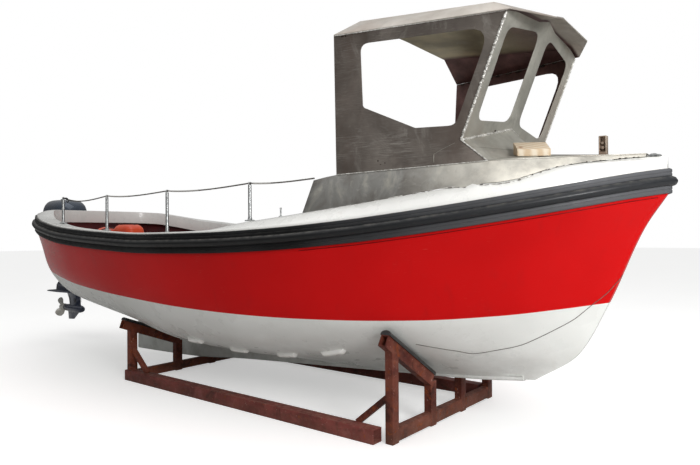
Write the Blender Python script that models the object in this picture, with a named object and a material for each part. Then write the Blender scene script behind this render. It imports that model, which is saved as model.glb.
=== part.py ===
# Inshore rescue boat on its storage cradle.
# Metres, +Z up, +X to the bow, +Y to port, ground at z = 0.
# The hull is lofted from a short table of offsets; the rest is plates, tubes and turned parts.
import math
import bpy
import bmesh
from mathutils import Matrix, Vector

# Driving dimensions.
GAP = 0.0003             # clearance left between pieces that touch

TRANSOM_X = -0.12        # outer face of the transom
STEM_TOP_X = 6.975       # stem at deck level
HULL_STEPS = 40          # sections of the loft
HULL_WALL = 0.050        # topside thickness around the cockpit
SOLE_Z = 0.800           # cockpit floor, which rises aft
SOLE = [(0.290, 0.970), (0.80, 0.880), (1.40, SOLE_Z)]
STEM_HOLLOW = 0.030      # hollow of the stem under the belt
FOOT_DROP = 0.142        # the topside stands upright over this height, behind the belt
WELL_AFT_X = 0.290       # aft wall of the cockpit
WELL_FORE_X = 6.000      # forward wall of the cockpit, under the foredeck

# Table of offsets: x, half breadth, height.
SHEER = [(-0.12, 0.420, 1.690), (0.00, 0.500, 1.685), (0.10, 0.580, 1.680), (0.35, 0.810, 1.668),
         (0.70, 0.985, 1.640), (1.05, 1.135, 1.605), (1.52, 1.280, 1.548), (2.07, 1.360, 1.486),
         (2.80, 1.378, 1.440),
         (3.40, 1.365, 1.418), (4.13, 1.320, 1.426), (4.70, 1.235, 1.450), (5.25, 1.085, 1.497),
         (5.75, 0.905, 1.562), (6.20, 0.690, 1.636), (6.60, 0.440, 1.715), (6.83, 0.210, 1.768),
         (STEM_TOP_X, 0.020, 1.800)]
PAINT = [(-0.12, 0.365, 1.085), (0.35, 0.662, 1.106), (1.24, 1.055, 1.030), (2.00, 1.169, 0.945),
         (2.83, 1.215, 0.890), (3.43, 1.215, 0.858), (4.12, 1.160, 0.833), (4.66, 1.060, 0.825),
         (5.11, 0.930, 0.829), (5.62, 0.710, 0.845), (6.07, 0.440, 0.882), (6.35, 0.235, 0.920),
         (6.626, 0.020, 0.965)]
BILGE = [(-0.12, 0.210, 0.912), (0.50, 0.482, 0.780), (1.20, 0.705, 0.722), (2.36, 0.820, 0.615),
         (3.20, 0.880, 0.515), (4.00, 0.840, 0.505), (4.70, 0.740, 0.540), (5.42, 0.540, 0.615),
         (5.90, 0.310, 0.615), (6.20, 0.140, 0.600), (6.415, 0.020, 0.590)]
KEEL = [(-0.12, 0.020, 0.880), (0.60, 0.020, 0.679), (1.20, 0.020, 0.536), (2.36, 0.020, 0.328),
        (3.40, 0.020, 0.262), (4.40, 0.020, 0.275), (5.42, 0.020, 0.330), (6.130, 0.020, 0.390)]

SKEG_AFT_X = 1.215       # vertical aft edge of the skeg
KEEL_HALF = 0.032        # half thickness of the keel
KEEL_BOTTOM = [(1.215, 0.070), (1.60, 0.078), (2.32, 0.1006), (2.44, 0.1080), (3.00, 0.160), (4.00, 0.225),
               (5.00, 0.288), (5.70, 0.333), (6.05, 0.372)]

BAND_HEIGHT = 0.154      # rubber belt
BAND_THICK = 0.020
D_RADIUS = 0.030         # half round on the belt
DECK_EDGE = 0.028        # white moulding above the belt
LIP_DEPTH = 0.150        # inner face of the side decks
# x, half breadth of the opening in the deck
OPENING = [(0.330, 0.400), (0.38, 0.540), (0.50, 0.680), (0.75, 0.820), (1.05, 0.950), (1.52, 1.090),
           (2.07, 1.175), (2.80, 1.190), (3.40, 1.175), (4.13, 1.110), (4.70, 1.000), (5.25, 0.860),
           (5.70, 0.730), (5.95, 0.620), (6.08, 0.480)]
# x, rise of the inner deck edge over the outer one: low aft, a moulded step forward of the cockpit
DECK_RISE = [(-0.12, 0.080), (0.50, 0.078), (0.84, 0.050), (1.20, 0.020), (3.80, 0.016), (4.05, 0.030),
             (4.30, 0.075), (4.60, 0.098), (4.95, 0.118), (5.60, 0.136), (6.20, 0.138), (6.47, 0.149),
             (6.75, 0.115), (6.975, 0.065)]

NOTCH_HALF = 0.356       # outboard well in the stern
NOTCH_FLOOR = 1.120
NOTCH_FORE_X = 0.246
TRANSOM_THICK = 0.055
TRANSOM_TOP = 1.290      # clamping edge of the transom, inside the notch

# Wheelhouse: outer corners of the plating, starboard side; the port side is its mirror.
WALL_AFT_TOP = (5.041, -0.895, 2.813)
WALL_FORE_TOP = (6.214, -0.639, 2.791)
WALL_SCREEN_FOOT = (5.907, -0.660, 2.022)
WALL_FORE_FOOT = (6.068, -0.617, 1.880)
WALL_AFT_FOOT = (5.015, -0.844, 1.844)
ROOF_AFT = (5.066, -0.620, 2.979)
ROOF_MID = (6.120, -0.620, 2.862)
ROOF_FORE = (6.405, -0.310, 2.790)
ROOF_APEX = (6.340, 0.0, 2.884)
SCREEN_FOOT_MID = (5.962, 0.0, 2.173)
SCREEN_TOP = [(0.0, 2.886), (-0.150, 2.847), (-0.500, 2.819)]    # y, z just under the roof plate
NOSE_EDGE = (5.9585, -0.6462, 1.9766)
NOSE_MID = (6.140, 0.0, 1.995)
PLATE = 0.006            # aluminium plating

# Aluminium coaming: x, y and z of the top edge, y of the foot; it ends at the fairlead
COAMING = [(4.850, 0.900, 1.812, 0.970), (5.015, 0.844, 1.8437, 0.926), (5.750, 0.690, 1.8700, 0.766),
           (6.068, 0.617, 1.8797, 0.695), (6.250, 0.518, 1.8840, 0.600), (6.390, 0.410, 1.8890, 0.470),
           (6.540, 0.235, 1.9060, 0.285), (6.700, 0.110, 1.9090, 0.150), (6.862, 0.036, 1.9110, 0.062)]
COAMING_X = (4.85, 4.93, 5.015, 5.3, 5.55, 5.8, 6.0, 6.068, 6.16, 6.25, 6.32, 6.39, 6.465, 6.54, 6.62, 6.70,
             6.78, 6.862)
FOREDECK_THICK = 0.005
# Foredeck plate inboard of the coaming: x and height of its upper face on the centre line
FOREDECK_MID = [(6.14, 1.995), (6.25, 1.966), (6.60, 1.930), (6.862, 1.917)]

# Cradle: it stands a little to starboard under the boat
RAIL_Y = (-0.814, 0.735)
RAIL_AFT_X = 2.300
RAIL_FORE_X = 5.340
RAIL_SIZE = 0.100
FRAME_AFT_X = 2.335
FRAME_FORE_X = 5.420
POSTS_AFT = (-0.800, -0.270, 0.170, 0.720)
POSTS_FORE = (-0.7525, -0.250, 0.215, 0.700)
TUBE = (0.060, 0.075)    # posts, along and across the boat
BEARER = (0.060, 0.080)

# Outboard
STEER_X = -0.340         # steering axis
TILT_X, TILT_Z = -0.165, 1.365
PROP_Z = 0.430           # propeller shaft
PLATE_Z = 0.660          # anti-ventilation plate


# Curves through the offsets.
def smooth(table, x):
    """Monotone cubic through rows of (x, a, b, ...); returns the list of values at x."""
    n = len(table)
    if x <= table[0][0]:
        return list(table[0][1:])
    if x >= table[-1][0]:
        return list(table[-1][1:])
    k = 0
    while x > table[k + 1][0]:
        k += 1
    out = []
    for c in range(1, len(table[0])):
        def slope(i):
            return (table[i + 1][c] - table[i][c]) / (table[i + 1][0] - table[i][0])

        def tangent(i):
            if i == 0:
                return slope(0)
            if i == n - 1:
                return slope(n - 2)
            a, b = slope(i - 1), slope(i)
            if a * b <= 0:
                return 0.0
            return 2.0 * a * b / (a + b)
        h = table[k + 1][0] - table[k][0]
        t = (x - table[k][0]) / h
        p0, p1 = table[k][c], table[k + 1][c]
        m0, m1 = tangent(k) * h, tangent(k + 1) * h
        out.append((2 * t ** 3 - 3 * t ** 2 + 1) * p0 + (t ** 3 - 2 * t ** 2 + t) * m0
                   + (-2 * t ** 3 + 3 * t ** 2) * p1 + (t ** 3 - t ** 2) * m1)
    return out


def station(i):
    """Fraction of the length of hull section i, closer together at both ends."""
    t = i / HULL_STEPS
    return min(max(t - 0.11 * math.sin(2 * math.pi * t), 0.0), 1.0)


SHEER_X = [TRANSOM_X + (STEM_TOP_X - TRANSOM_X) * station(i) for i in range(HULL_STEPS + 1)]
SHEER_LINE = [(x, *smooth(SHEER, x)) for x in SHEER_X]


def on_sheer(x):
    """y and z of the sheer as it is built: straight between the hull's sections."""
    if x <= SHEER_LINE[0][0]:
        return SHEER_LINE[0][1:]
    for a, b in zip(SHEER_LINE, SHEER_LINE[1:]):
        if x <= b[0]:
            t = (x - a[0]) / (b[0] - a[0])
            return (a[1] + (b[1] - a[1]) * t, a[2] + (b[2] - a[2]) * t)
    return SHEER_LINE[-1][1:]


def sheer_y(x):
    return on_sheer(x)[0]


def sheer_z(x):
    return on_sheer(x)[1]


def section(points, parts):
    """A smooth curve through the points, parts samples in each span."""
    lengths = [0.0]
    for a, b in zip(points, points[1:]):
        lengths.append(lengths[-1] + max((b - a).length, 1e-4))
    table = [(s, p.x, p.y, p.z) for s, p in zip(lengths, points)]
    out = []
    for i in range(len(points) - 1):
        for j in range(parts[i]):
            s = lengths[i] + (lengths[i + 1] - lengths[i]) * j / parts[i]
            out.append(Vector(smooth(table, s)))
    out.append(points[-1].copy())
    return out


def foot_of(sheer):
    """Point of the topside below the belt, straight under the sheer."""
    return sheer - Vector((0, 0.004, FOOT_DROP))


def hull_section(u):
    """Half section of the hull at the fraction u from transom to stem, keel to sheer."""
    rows = []
    for table in (KEEL, BILGE, PAINT, SHEER):
        x = TRANSOM_X + (table[-1][0] - TRANSOM_X) * u
        y, z = smooth(table, x)
        rows.append(Vector((x, y, z)))
    foot = foot_of(rows[3])
    neck = rows[2].lerp(foot, 0.70) - Vector((STEM_HOLLOW * u ** 8, 0, 0))
    return section(rows[:3] + [neck, foot], (3, 4, 3, 2)) + [rows[3]]


def half_breadth(x, z):
    """Half breadth of the hull at x and z, from the rows at that x."""
    rows = [Vector((x, *smooth(t, x))) for t in (KEEL, BILGE, PAINT, SHEER)]
    pts = section(rows[:3] + [foot_of(rows[3])], (6, 8, 8)) + [rows[3]]
    for a, b in zip(pts, pts[1:]):
        if a.z <= z <= b.z:
            t = (z - a.z) / max(b.z - a.z, 1e-6)
            return a.y + (b.y - a.y) * t
    return pts[-1].y if z > pts[-1].z else 0.0


# Building blocks.
for old in list(bpy.data.objects):
    bpy.data.objects.remove(old, do_unlink=True)
for old in list(bpy.data.collections):
    bpy.data.collections.remove(old)

PARTS = bpy.data.collections.new("inshore_rescue_boat")
CUTTERS = bpy.data.collections.new("cutters")
bpy.context.scene.collection.children.link(PARTS)
bpy.context.scene.collection.children.link(CUTTERS)
CUTTERS.hide_render = True

COLOURS = {
    "gelcoat_red": ((0.62, 0.02, 0.03), 0.0, 0.15),
    "gelcoat_white": ((0.80, 0.80, 0.78), 0.0, 0.25),
    "rubber": ((0.03, 0.03, 0.035), 0.0, 0.60),
    "aluminium": ((0.50, 0.48, 0.44), 1.0, 0.45),
    "steel_red": ((0.22, 0.07, 0.06), 0.0, 0.60),
    "galvanised": ((0.60, 0.60, 0.60), 1.0, 0.40),
    "timber": ((0.75, 0.58, 0.36), 0.0, 0.70),
    "orange": ((0.80, 0.16, 0.05), 0.0, 0.45),
    "outboard_blue": ((0.07, 0.10, 0.15), 0.0, 0.30),
    "prop_white": ((0.65, 0.65, 0.62), 0.0, 0.40),
    "rope": ((0.35, 0.34, 0.30), 0.0, 0.90),
}


def material(name):
    mat = bpy.data.materials.get(name)
    if mat is None:
        mat = bpy.data.materials.new(name)
        mat.use_nodes = True
        colour, metal, rough = COLOURS[name]
        shader = mat.node_tree.nodes["Principled BSDF"]
        shader.inputs["Base Color"].default_value = (*colour, 1.0)
        shader.inputs["Metallic"].default_value = metal
        shader.inputs["Roughness"].default_value = rough
        mat.diffuse_color = (*colour, 1.0)
    return mat


def put(name, mesh, colour=None):
    """Makes an object from a mesh: a part with its material, or a cutter."""
    obj = bpy.data.objects.new(name, mesh)
    if colour:
        PARTS.objects.link(obj)
        mesh.materials.clear()
        mesh.materials.append(material(colour))
    else:
        CUTTERS.objects.link(obj)
        obj.display_type = "WIRE"
        obj.hide_render = True
    return obj


def mesh_from(name, verts, faces):
    mesh = bpy.data.meshes.new(name)
    bm = bmesh.new()
    made = [bm.verts.new(v) for v in verts]
    for face in faces:
        bm.faces.new([made[i] for i in face])
    bmesh.ops.remove_doubles(bm, verts=bm.verts, dist=0.00005)
    bmesh.ops.recalc_face_normals(bm, faces=bm.faces)
    bm.to_mesh(mesh)
    bm.free()
    return mesh


def loft(name, rings, colour=None, closed=False):
    """A closed body through rings of equal length; the two end rings are capped."""
    count = len(rings[0])
    verts = [p for ring in rings for p in ring]
    faces = []
    last = len(rings) if closed else len(rings) - 1
    for i in range(last):
        a, b = i * count, ((i + 1) % len(rings)) * count
        for j in range(count):
            k = (j + 1) % count
            faces.append((a + j, a + k, b + k, b + j))
    if not closed:
        faces.append(tuple(range(count)))
        faces.append(tuple(range((len(rings) - 1) * count, len(rings) * count)))
    return put(name, mesh_from(name, verts, faces), colour)


def prism(name, outline, depth, colour=None):
    """Outline (Vectors in one plane) pushed along the vector depth."""
    return loft(name, [[Vector(p) for p in outline], [Vector(p) + Vector(depth) for p in outline]],
                colour)


def box(name, low, high, colour=None):
    x0, y0, z0 = low
    x1, y1, z1 = high
    ring = [(x0, y0, z0), (x1, y0, z0), (x1, y1, z0), (x0, y1, z0)]
    return prism(name, ring, (0, 0, z1 - z0), colour)


def bar(name, start, end, width, height, colour=None, up=(0, 0, 1)):
    """A rectangular bar from start to end; width across, height along up."""
    start, end, up = Vector(start), Vector(end), Vector(up)
    along = (end - start).normalized()
    side = along.cross(up).normalized() * width / 2
    top = side.cross(along).normalized() * height / 2
    ring = [start - side - top, start + side - top, start + side + top, start - side + top]
    return prism(name, ring, end - start, colour)


def rod(name, start, end, radius, colour=None, sides=16, radius_end=None):
    """A round bar or cone from start to end."""
    start, end = Vector(start), Vector(end)
    along = (end - start).normalized()
    ref = Vector((0, 0, 1)) if abs(along.z) < 0.9 else Vector((1, 0, 0))
    a = along.cross(ref).normalized()
    b = along.cross(a).normalized()
    far = radius if radius_end is None else radius_end
    rings = []
    for centre, r in ((start, radius), (end, far)):
        rings.append([centre + (a * math.cos(t) + b * math.sin(t)) * r
                      for t in (2 * math.pi * i / sides for i in range(sides))])
    return loft(name, rings, colour)


def tube_path(name, path, radius, colour=None, sides=10):
    """A round bar bent along a path of points."""
    path = [Vector(p) for p in path]
    rings = []
    normal = None
    for i, p in enumerate(path):
        before = (p - path[i - 1]).normalized() if i > 0 else None
        after = (path[i + 1] - p).normalized() if i < len(path) - 1 else None
        along = before if after is None else after if before is None else (before + after).normalized()
        if normal is None:
            ref = Vector((0, 0, 1)) if abs(along.z) < 0.9 else Vector((1, 0, 0))
            normal = along.cross(ref).normalized()
        normal = (normal - along * normal.dot(along)).normalized()
        other = along.cross(normal)
        rings.append([p + (normal * math.cos(t) + other * math.sin(t)) * radius
                      for t in (2 * math.pi * k / sides for k in range(sides))])
    return loft(name, rings, colour)


def boolean(target, tool, kind):
    mod = target.modifiers.new(kind.lower(), "BOOLEAN")
    mod.operation = kind
    mod.object = tool
    mod.solver = "EXACT"
    return target


def settle(obj):
    """Applies the modifiers, so that the mesh is the finished one."""
    bpy.context.view_layer.update()
    graph = bpy.context.evaluated_depsgraph_get()
    mesh = bpy.data.meshes.new_from_object(obj.evaluated_get(graph), depsgraph=graph)
    obj.modifiers.clear()
    obj.data = mesh
    return obj


def cut(target, *tools):
    for tool in tools:
        boolean(target, tool, "DIFFERENCE")
        settle(target)
    return target


def join(target, *tools):
    for tool in tools:
        boolean(target, tool, "UNION")
        settle(target)
    return target


def drop(*tools):
    for tool in tools:
        bpy.data.objects.remove(tool, do_unlink=True)


def mirrored(name, source, colour):
    """The port twin of a starboard part."""
    mesh = source.data.copy()
    mesh.transform(Matrix.Scale(-1, 4, (0, 1, 0)))
    bm = bmesh.new()
    bm.from_mesh(mesh)
    bmesh.ops.recalc_face_normals(bm, faces=bm.faces)
    bm.to_mesh(mesh)
    bm.free()
    return put(name, mesh, colour)


# Hull.
def whole(half):
    """Starboard and port points of a half section, as one open row from sheer to sheer."""
    starboard = [Vector((p.x, -p.y, p.z)) for p in reversed(half)]
    return starboard + [p.copy() for p in half]


def hull_body():
    steps = HULL_STEPS
    rings = [whole(hull_section(station(i))) for i in range(steps + 1)]
    count = len(rings[0])
    half = count // 2
    verts = [p for ring in rings for p in ring]
    faces = []
    for i in range(steps):
        a, b = i * count, (i + 1) * count
        for j in range(count - 1):
            faces.append((a + j, a + j + 1, b + j + 1, b + j))
        faces.append((a + count - 1, a, b, b + count - 1))
    faces.append(tuple(range(count)))
    end = steps * count
    for j in range(half - 1):
        faces.append((end + j, end + j + 1, end + count - 2 - j, end + count - 1 - j))
    mesh = mesh_from("hull", verts, faces)
    bm = bmesh.new()
    bm.from_mesh(mesh)
    bmesh.ops.triangulate(bm, faces=bm.faces)
    bm.to_mesh(mesh)
    bm.free()
    return put("hull", mesh, "gelcoat_red")


def keel_fin():
    """The keel with its straight skeg aft, before the hull is cut away from it."""
    low = [(x, z) for x, z in KEEL_BOTTOM]
    high = [(x, smooth(KEEL, x)[1] + 0.035) for x in (6.05, 5.0, 4.0, 3.0, 2.2, 1.6, 1.215)]
    outline = [Vector((x, -KEEL_HALF, z)) for x, z in low + high]
    return prism("keel", outline, (0, 2 * KEEL_HALF, 0), "gelcoat_white")


def well_cutter():
    rings = []
    for x in (WELL_AFT_X, 0.36, 0.50, 0.75, 1.1, 1.6, 2.2, 2.9, 3.6, 4.3, 4.8, 5.3, 5.7, WELL_FORE_X):
        top = sheer_y(x) - HULL_WALL
        z_rim = sheer_z(x)
        row = []
        sole = smooth(SOLE, x)[0]
        for z in (sole, sole + 0.10, 1.09, 1.26):
            y = half_breadth(x, z - 0.03) - HULL_WALL
            row.append((max(min(y, top), 0.10), z))
        row[0] = (max(min(row[0][0], half_breadth(x, sole - 0.06) - 0.03), 0.10), sole)
        row.append((top, z_rim - 0.05))
        row.append((top, z_rim + 0.20))
        ring = [Vector((x, -y, z)) for y, z in reversed(row)] + [Vector((x, y, z)) for y, z in row]
        rings.append(ring)
    return loft("well_cutter", rings)


hull = hull_body()
keel = keel_fin()
cut(keel, hull)
keel.data.transform(Matrix.Translation((0, 0, -GAP)))
well = well_cutter()
notch = box("notch_cutter", (TRANSOM_X + TRANSOM_THICK, -NOTCH_HALF, NOTCH_FLOOR),
            (NOTCH_FORE_X, NOTCH_HALF, 2.2))
sill = box("transom_cutter", (-0.4, -NOTCH_HALF, TRANSOM_TOP), (NOTCH_FORE_X, NOTCH_HALF, 2.2))
cut(hull, well, notch, sill)


# Deck moulding.
def opening_y(x):
    return smooth(OPENING, x)[0]


def deck_inner(x):
    """Half breadth where the deck has risen to its inner height."""
    edge = sheer_y(x)
    if x < OPENING[0][0]:
        return max(edge - 0.20, 0.30)
    if x <= 6.0:
        return min(opening_y(x) + 0.045, edge - 0.035)
    t = min((x - 6.0) / 0.9, 1.0)
    return edge * (0.86 - 0.30 * t)


def deck_z(x, y):
    """Top of the deck moulding."""
    edge, inner = sheer_y(x), deck_inner(x)
    rise = smooth(DECK_RISE, x)[0]
    base = sheer_z(x) + GAP
    y = abs(y)
    if y >= inner:
        t = min(max((edge - y) / max(edge - inner, 1e-4), 0.0), 1.0)
        return base + DECK_EDGE + (rise - DECK_EDGE) * math.sin(math.pi / 2 * t)
    crown = 0.030 if x > 6.0 else 0.0
    return base + rise + crown * (1 - (y / max(inner, 1e-4)) ** 2)


def deck_slab():
    rings = []
    extra = [4.05, 4.15, 4.25, 4.35, 4.50, 4.65, 4.80, 4.95]
    xs = SHEER_X + [x for x in extra if min(abs(x - s) for s in SHEER_X) > 0.02]
    for x in sorted(xs):
        edge, inner = sheer_y(x), deck_inner(x)
        base = sheer_z(x) + GAP
        inner = min(inner, edge * 0.9)
        row = [(edge, base), (edge, deck_z(x, edge) - 0.006)]
        for t in (0.06, 0.30, 0.62, 1.0):
            y = edge + (inner - edge) * t
            row.append((y, deck_z(x, y)))
        row.append((inner * 0.5, deck_z(x, inner * 0.5)))
        ring = [Vector((x, -y, z)) for y, z in row] + [Vector((x, 0, deck_z(x, 0)))]
        ring += [Vector((x, y, z)) for y, z in reversed(row)]
        rings.append(ring)
    return loft("deck_moulding", rings, "gelcoat_white")


def deck_lip():
    rings = []
    for x in (0.303, 0.36, 0.5, 0.75, 1.05, 1.5, 2.0, 2.6, 3.3, 4.0, 4.4, 4.9, 5.4, 5.8, 5.95):
        y = opening_y(max(x, 0.33)) + 0.028
        top = sheer_z(x) + 0.008
        low = deck_z(x, 0) - LIP_DEPTH
        low = min(low, top - 0.02)
        rings.append([Vector((x, -y, low)), Vector((x, y, low)), Vector((x, y, top)),
                      Vector((x, -y, top))])
    return loft("deck_lip", rings)


def opening_cutter():
    rings = []
    for x in (0.33, 0.355, 0.40, 0.5, 0.6, 0.75, 0.9, 1.05, 1.3, 1.6, 2.0, 2.6, 3.3, 4.0, 4.5, 4.9,
              5.3, 5.65, 5.9, 6.0, 6.05, 6.08):
        y = opening_y(x)
        rings.append([Vector((x, -y, 0.9)), Vector((x, y, 0.9)), Vector((x, y, 2.3)),
                      Vector((x, -y, 2.3))])
    return loft("opening_cutter", rings)


deck = deck_slab()
lip = deck_lip()
opening = opening_cutter()
join(deck, lip)
cut(deck, opening, notch, sill)


# Rubber belt.
def belt():
    """Flat rubber belt with a half round along it, from the outboard well round the bow and back."""
    side = SHEER_LINE
    drop_z = 0.062
    starboard = [Vector((x, -y, z - drop_z)) for x, y, z in side]
    start = Vector((TRANSOM_X, -NOTCH_HALF - 0.004, side[0][2] - drop_z))
    path = [start] + starboard
    port = [Vector((p.x, -p.y, p.z)) for p in reversed(path)]
    path = path + port
    h, t, r = BAND_HEIGHT / 2, BAND_THICK, D_RADIUS
    profile = [(GAP, -h), (t - 0.004, -h), (t, -h + 0.004), (t, -r), (t + 0.6 * r, -0.85 * r),
               (t + 0.93 * r, -0.42 * r), (t + r, 0.0), (t + 0.93 * r, 0.42 * r), (t + 0.6 * r, 0.85 * r),
               (t, r), (t, h - 0.004), (t - 0.004, h), (GAP, h)]
    rings = []
    for i, p in enumerate(path):
        before = path[i] - path[i - 1] if i > 0 else path[1] - path[0]
        after = path[i + 1] - path[i] if i < len(path) - 1 else path[-1] - path[-2]
        b = Vector((before.x, before.y, 0)).normalized()
        a = Vector((after.x, after.y, 0)).normalized()
        mean = (a + b).normalized()
        out = Vector((mean.y, -mean.x, 0))
        stretch = 1.0 / max(mean.dot(a), 0.5)
        rings.append([p + out * (d * stretch) + Vector((0, 0, z)) for d, z in profile])
    return loft("fender_belt", rings, "rubber")


belt()


# Aluminium coaming.
def coaming():
    rings = []
    for k, x in enumerate(COAMING_X):
        y_top, z_top, y_foot = smooth(COAMING, x)
        if WALL_AFT_FOOT[0] <= x <= WALL_FORE_FOOT[0]:
            under = Vector(WALL_AFT_FOOT).lerp(Vector(WALL_FORE_FOOT), (x - WALL_AFT_FOOT[0])
                                               / (WALL_FORE_FOOT[0] - WALL_AFT_FOOT[0]))
            y_top, z_top = -under.y, under.z
        z_foot = max(deck_z(x, y_foot), deck_z(x, y_foot - PLATE * 2)) + 0.0028
        z_top = max(z_top - 0.0003, z_foot + 0.010)
        lean = 0.012 if k == 0 else 0.0
        rings.append([Vector((x - 4 * lean, -y_foot, z_foot)), Vector((x, -y_top, z_top)),
                      Vector((x, -y_top + PLATE, z_top)), Vector((x - 4 * lean, -y_foot + PLATE, z_foot))])
    return loft("coaming_stbd", rings, "aluminium")


coaming_stbd = coaming()
mirrored("coaming_port", coaming_stbd, "aluminium")


# Wheelhouse plating.
def normal_of(points):
    n = Vector((0, 0, 0))
    for i, p in enumerate(points):
        q = points[(i + 1) % len(points)]
        n += Vector(((p.y - q.y) * (p.z + q.z), (p.z - q.z) * (p.x + q.x), (p.x - q.x) * (p.y + q.y)))
    return n.normalized()


def inset(points, normal, amount):
    """The outline moved inwards in its own plane by amount."""
    n = len(points)
    out = []
    for i, p in enumerate(points):
        a = (p - points[i - 1]).normalized()
        b = (points[(i + 1) % n] - p).normalized()
        na, nb = normal.cross(a).normalized(), normal.cross(b).normalized()
        mean = na + nb
        out.append(p + mean * (amount / max(mean.dot(na), 0.3)))
    return out


def plate(name, corners, colour, thick=PLATE, mitre=1.0, edge=0.0004):
    """Flat plating: the corners are on the outer face, the plate grows away from outside."""
    pts = [Vector(p) for p in corners]
    n = normal_of(pts)
    outer = inset(pts, n, edge)
    inner = [p - n * thick for p in inset(pts, n, edge + thick * mitre)]
    return loft(name, [outer, inner], colour)


def rounded(corners, radii, parts=5):
    """Corner points with each corner replaced by an arc."""
    out = []
    n = len(corners)
    for i, p in enumerate(corners):
        p = Vector(p)
        a = (Vector(corners[i - 1]) - p)
        b = (Vector(corners[(i + 1) % n]) - p)
        angle = a.angle(b)
        r = radii[i]
        back = r / math.tan(angle / 2)
        back = min(back, a.length * 0.45, b.length * 0.45)
        start = p + a.normalized() * back
        end = p + b.normalized() * back
        for k in range(parts + 1):
            t = k / parts
            out.append(start * (1 - t) ** 2 + p * 2 * t * (1 - t) + end * t ** 2)
    return out


def mirror_y(points):
    return [(x, -y, z) for x, y, z in points]


def window(panel, corners, radii):
    """Cuts a rounded window square through a panel."""
    pts = rounded(corners, radii)
    n = normal_of(pts)
    tool = prism(panel.name + "_window_cutter", [p - n * 0.08 for p in pts], n * 0.16)
    cut(panel, tool)


WALL = [WALL_AFT_FOOT, WALL_FORE_FOOT, WALL_SCREEN_FOOT, WALL_FORE_TOP, WALL_AFT_TOP]
side_stbd = plate("wheelhouse_side_stbd", WALL, "aluminium")


def on_wall(x, z):
    """A point of the starboard wall's outer face above x at height z."""
    a, b, c = Vector(WALL_AFT_TOP), Vector(WALL_FORE_TOP), Vector(WALL_AFT_FOOT)
    n = (b - a).cross(c - a)
    y = a.y - (n.x * (x - a.x) + n.z * (z - a.z)) / n.y
    return (x, y, z)


window(side_stbd, [on_wall(5.239, 2.298), on_wall(5.605, 2.125), on_wall(5.873, 2.119),
                   on_wall(6.113, 2.708), on_wall(5.239, 2.730)], (0.03, 0.04, 0.07, 0.10, 0.06))
mirrored("wheelhouse_side_port", side_stbd, "aluminium")


def on_screen(y, z):
    """A point of the starboard screen's outer face beside the fold at y and height z."""
    foot, mid, top = Vector(WALL_SCREEN_FOOT), Vector(SCREEN_FOOT_MID), Vector(WALL_FORE_TOP)
    n = (mid - foot).cross(top - foot)
    x = foot.x - (n.y * (y - foot.y) + n.z * (z - foot.z)) / n.x
    return (x, y, z)


# Half of the reverse raked windscreen; its upper edge stays under the roof plating.
screen_stbd = plate("windscreen_stbd", [WALL_SCREEN_FOOT, SCREEN_FOOT_MID] +
                    [on_screen(*p) for p in SCREEN_TOP] + [WALL_FORE_TOP], "aluminium")
window(screen_stbd, [on_screen(-0.545, 2.158), on_screen(-0.079, 2.210), on_screen(-0.079, 2.797),
                     on_screen(-0.548, 2.722)], (0.07, 0.09, 0.08, 0.09))
mirrored("windscreen_port", screen_stbd, "aluminium")

nose_stbd = plate("nose_panel_stbd", [WALL_SCREEN_FOOT, NOSE_EDGE, NOSE_MID, SCREEN_FOOT_MID], "aluminium",
                  mitre=1.0, edge=0.0010)
mirrored("nose_panel_port", nose_stbd, "aluminium")


def foredeck_plate():
    """Bent plate over the foredeck, from the nose panels and coaming to the fairlead."""
    edge = []
    for x in [c for c in COAMING_X if c >= WALL_FORE_FOOT[0]]:
        y, z = smooth(COAMING, x)[:2]
        edge.append(Vector((x, -y, z + 0.0008 + FOREDECK_THICK)))
    lean = Vector(NOSE_EDGE) - Vector(NOSE_MID)
    ahead = Vector((0, 0, 1)).cross(lean).normalized() * -0.0016
    rear = Vector(NOSE_EDGE) + ahead + Vector((0.0004, 0.0010, 0.0002))
    edge[0] += Vector((0.0014, 0.0012, 0))
    mid = [Vector((x, 0, z)) for x, z in FOREDECK_MID]
    mid[0].x += abs(ahead.x) + 0.0004
    half = [rear] + edge
    top = half + mid
    n, m = len(half), len(mid)
    tris = [(0, 1, n), (1, 2, n)]
    k = 0
    for i in range(2, n - 1):
        while k + 1 < m and mid[k + 1].x < half[i].x - 0.06:
            tris.append((i, n + k + 1, n + k))
            k += 1
        tris.append((i, i + 1, n + k))
    while k + 1 < m:
        tris.append((n - 1, n + k + 1, n + k))
        k += 1
    verts = [p.copy() for p in top] + [Vector((p.x, -p.y, p.z)) for p in half]
    port = {i: i + len(top) for i in range(n)}
    faces = list(tris) + [tuple(port.get(i, i) for i in reversed(t)) for t in tris]
    under = [p - Vector((0, 0, FOREDECK_THICK)) for p in verts]
    under[0] += Vector((0, 0.007, 0))
    under[1] += Vector((0, 0.007, 0))
    under[port[0]] -= Vector((0, 0.007, 0))
    under[port[1]] -= Vector((0, 0.007, 0))
    total = len(verts)
    rim = list(range(n)) + [n + m - 1] + [port[i] for i in reversed(range(n))] + [n]
    solid = faces + [tuple(i + total for i in reversed(f)) for f in faces]
    for i, a in enumerate(rim):
        b = rim[(i + 1) % len(rim)]
        solid.append((a, b, b + total, a + total))
    return put("foredeck_plate", mesh_from("foredeck_plate", verts + under, solid), "aluminium")


foredeck = foredeck_plate()


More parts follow.
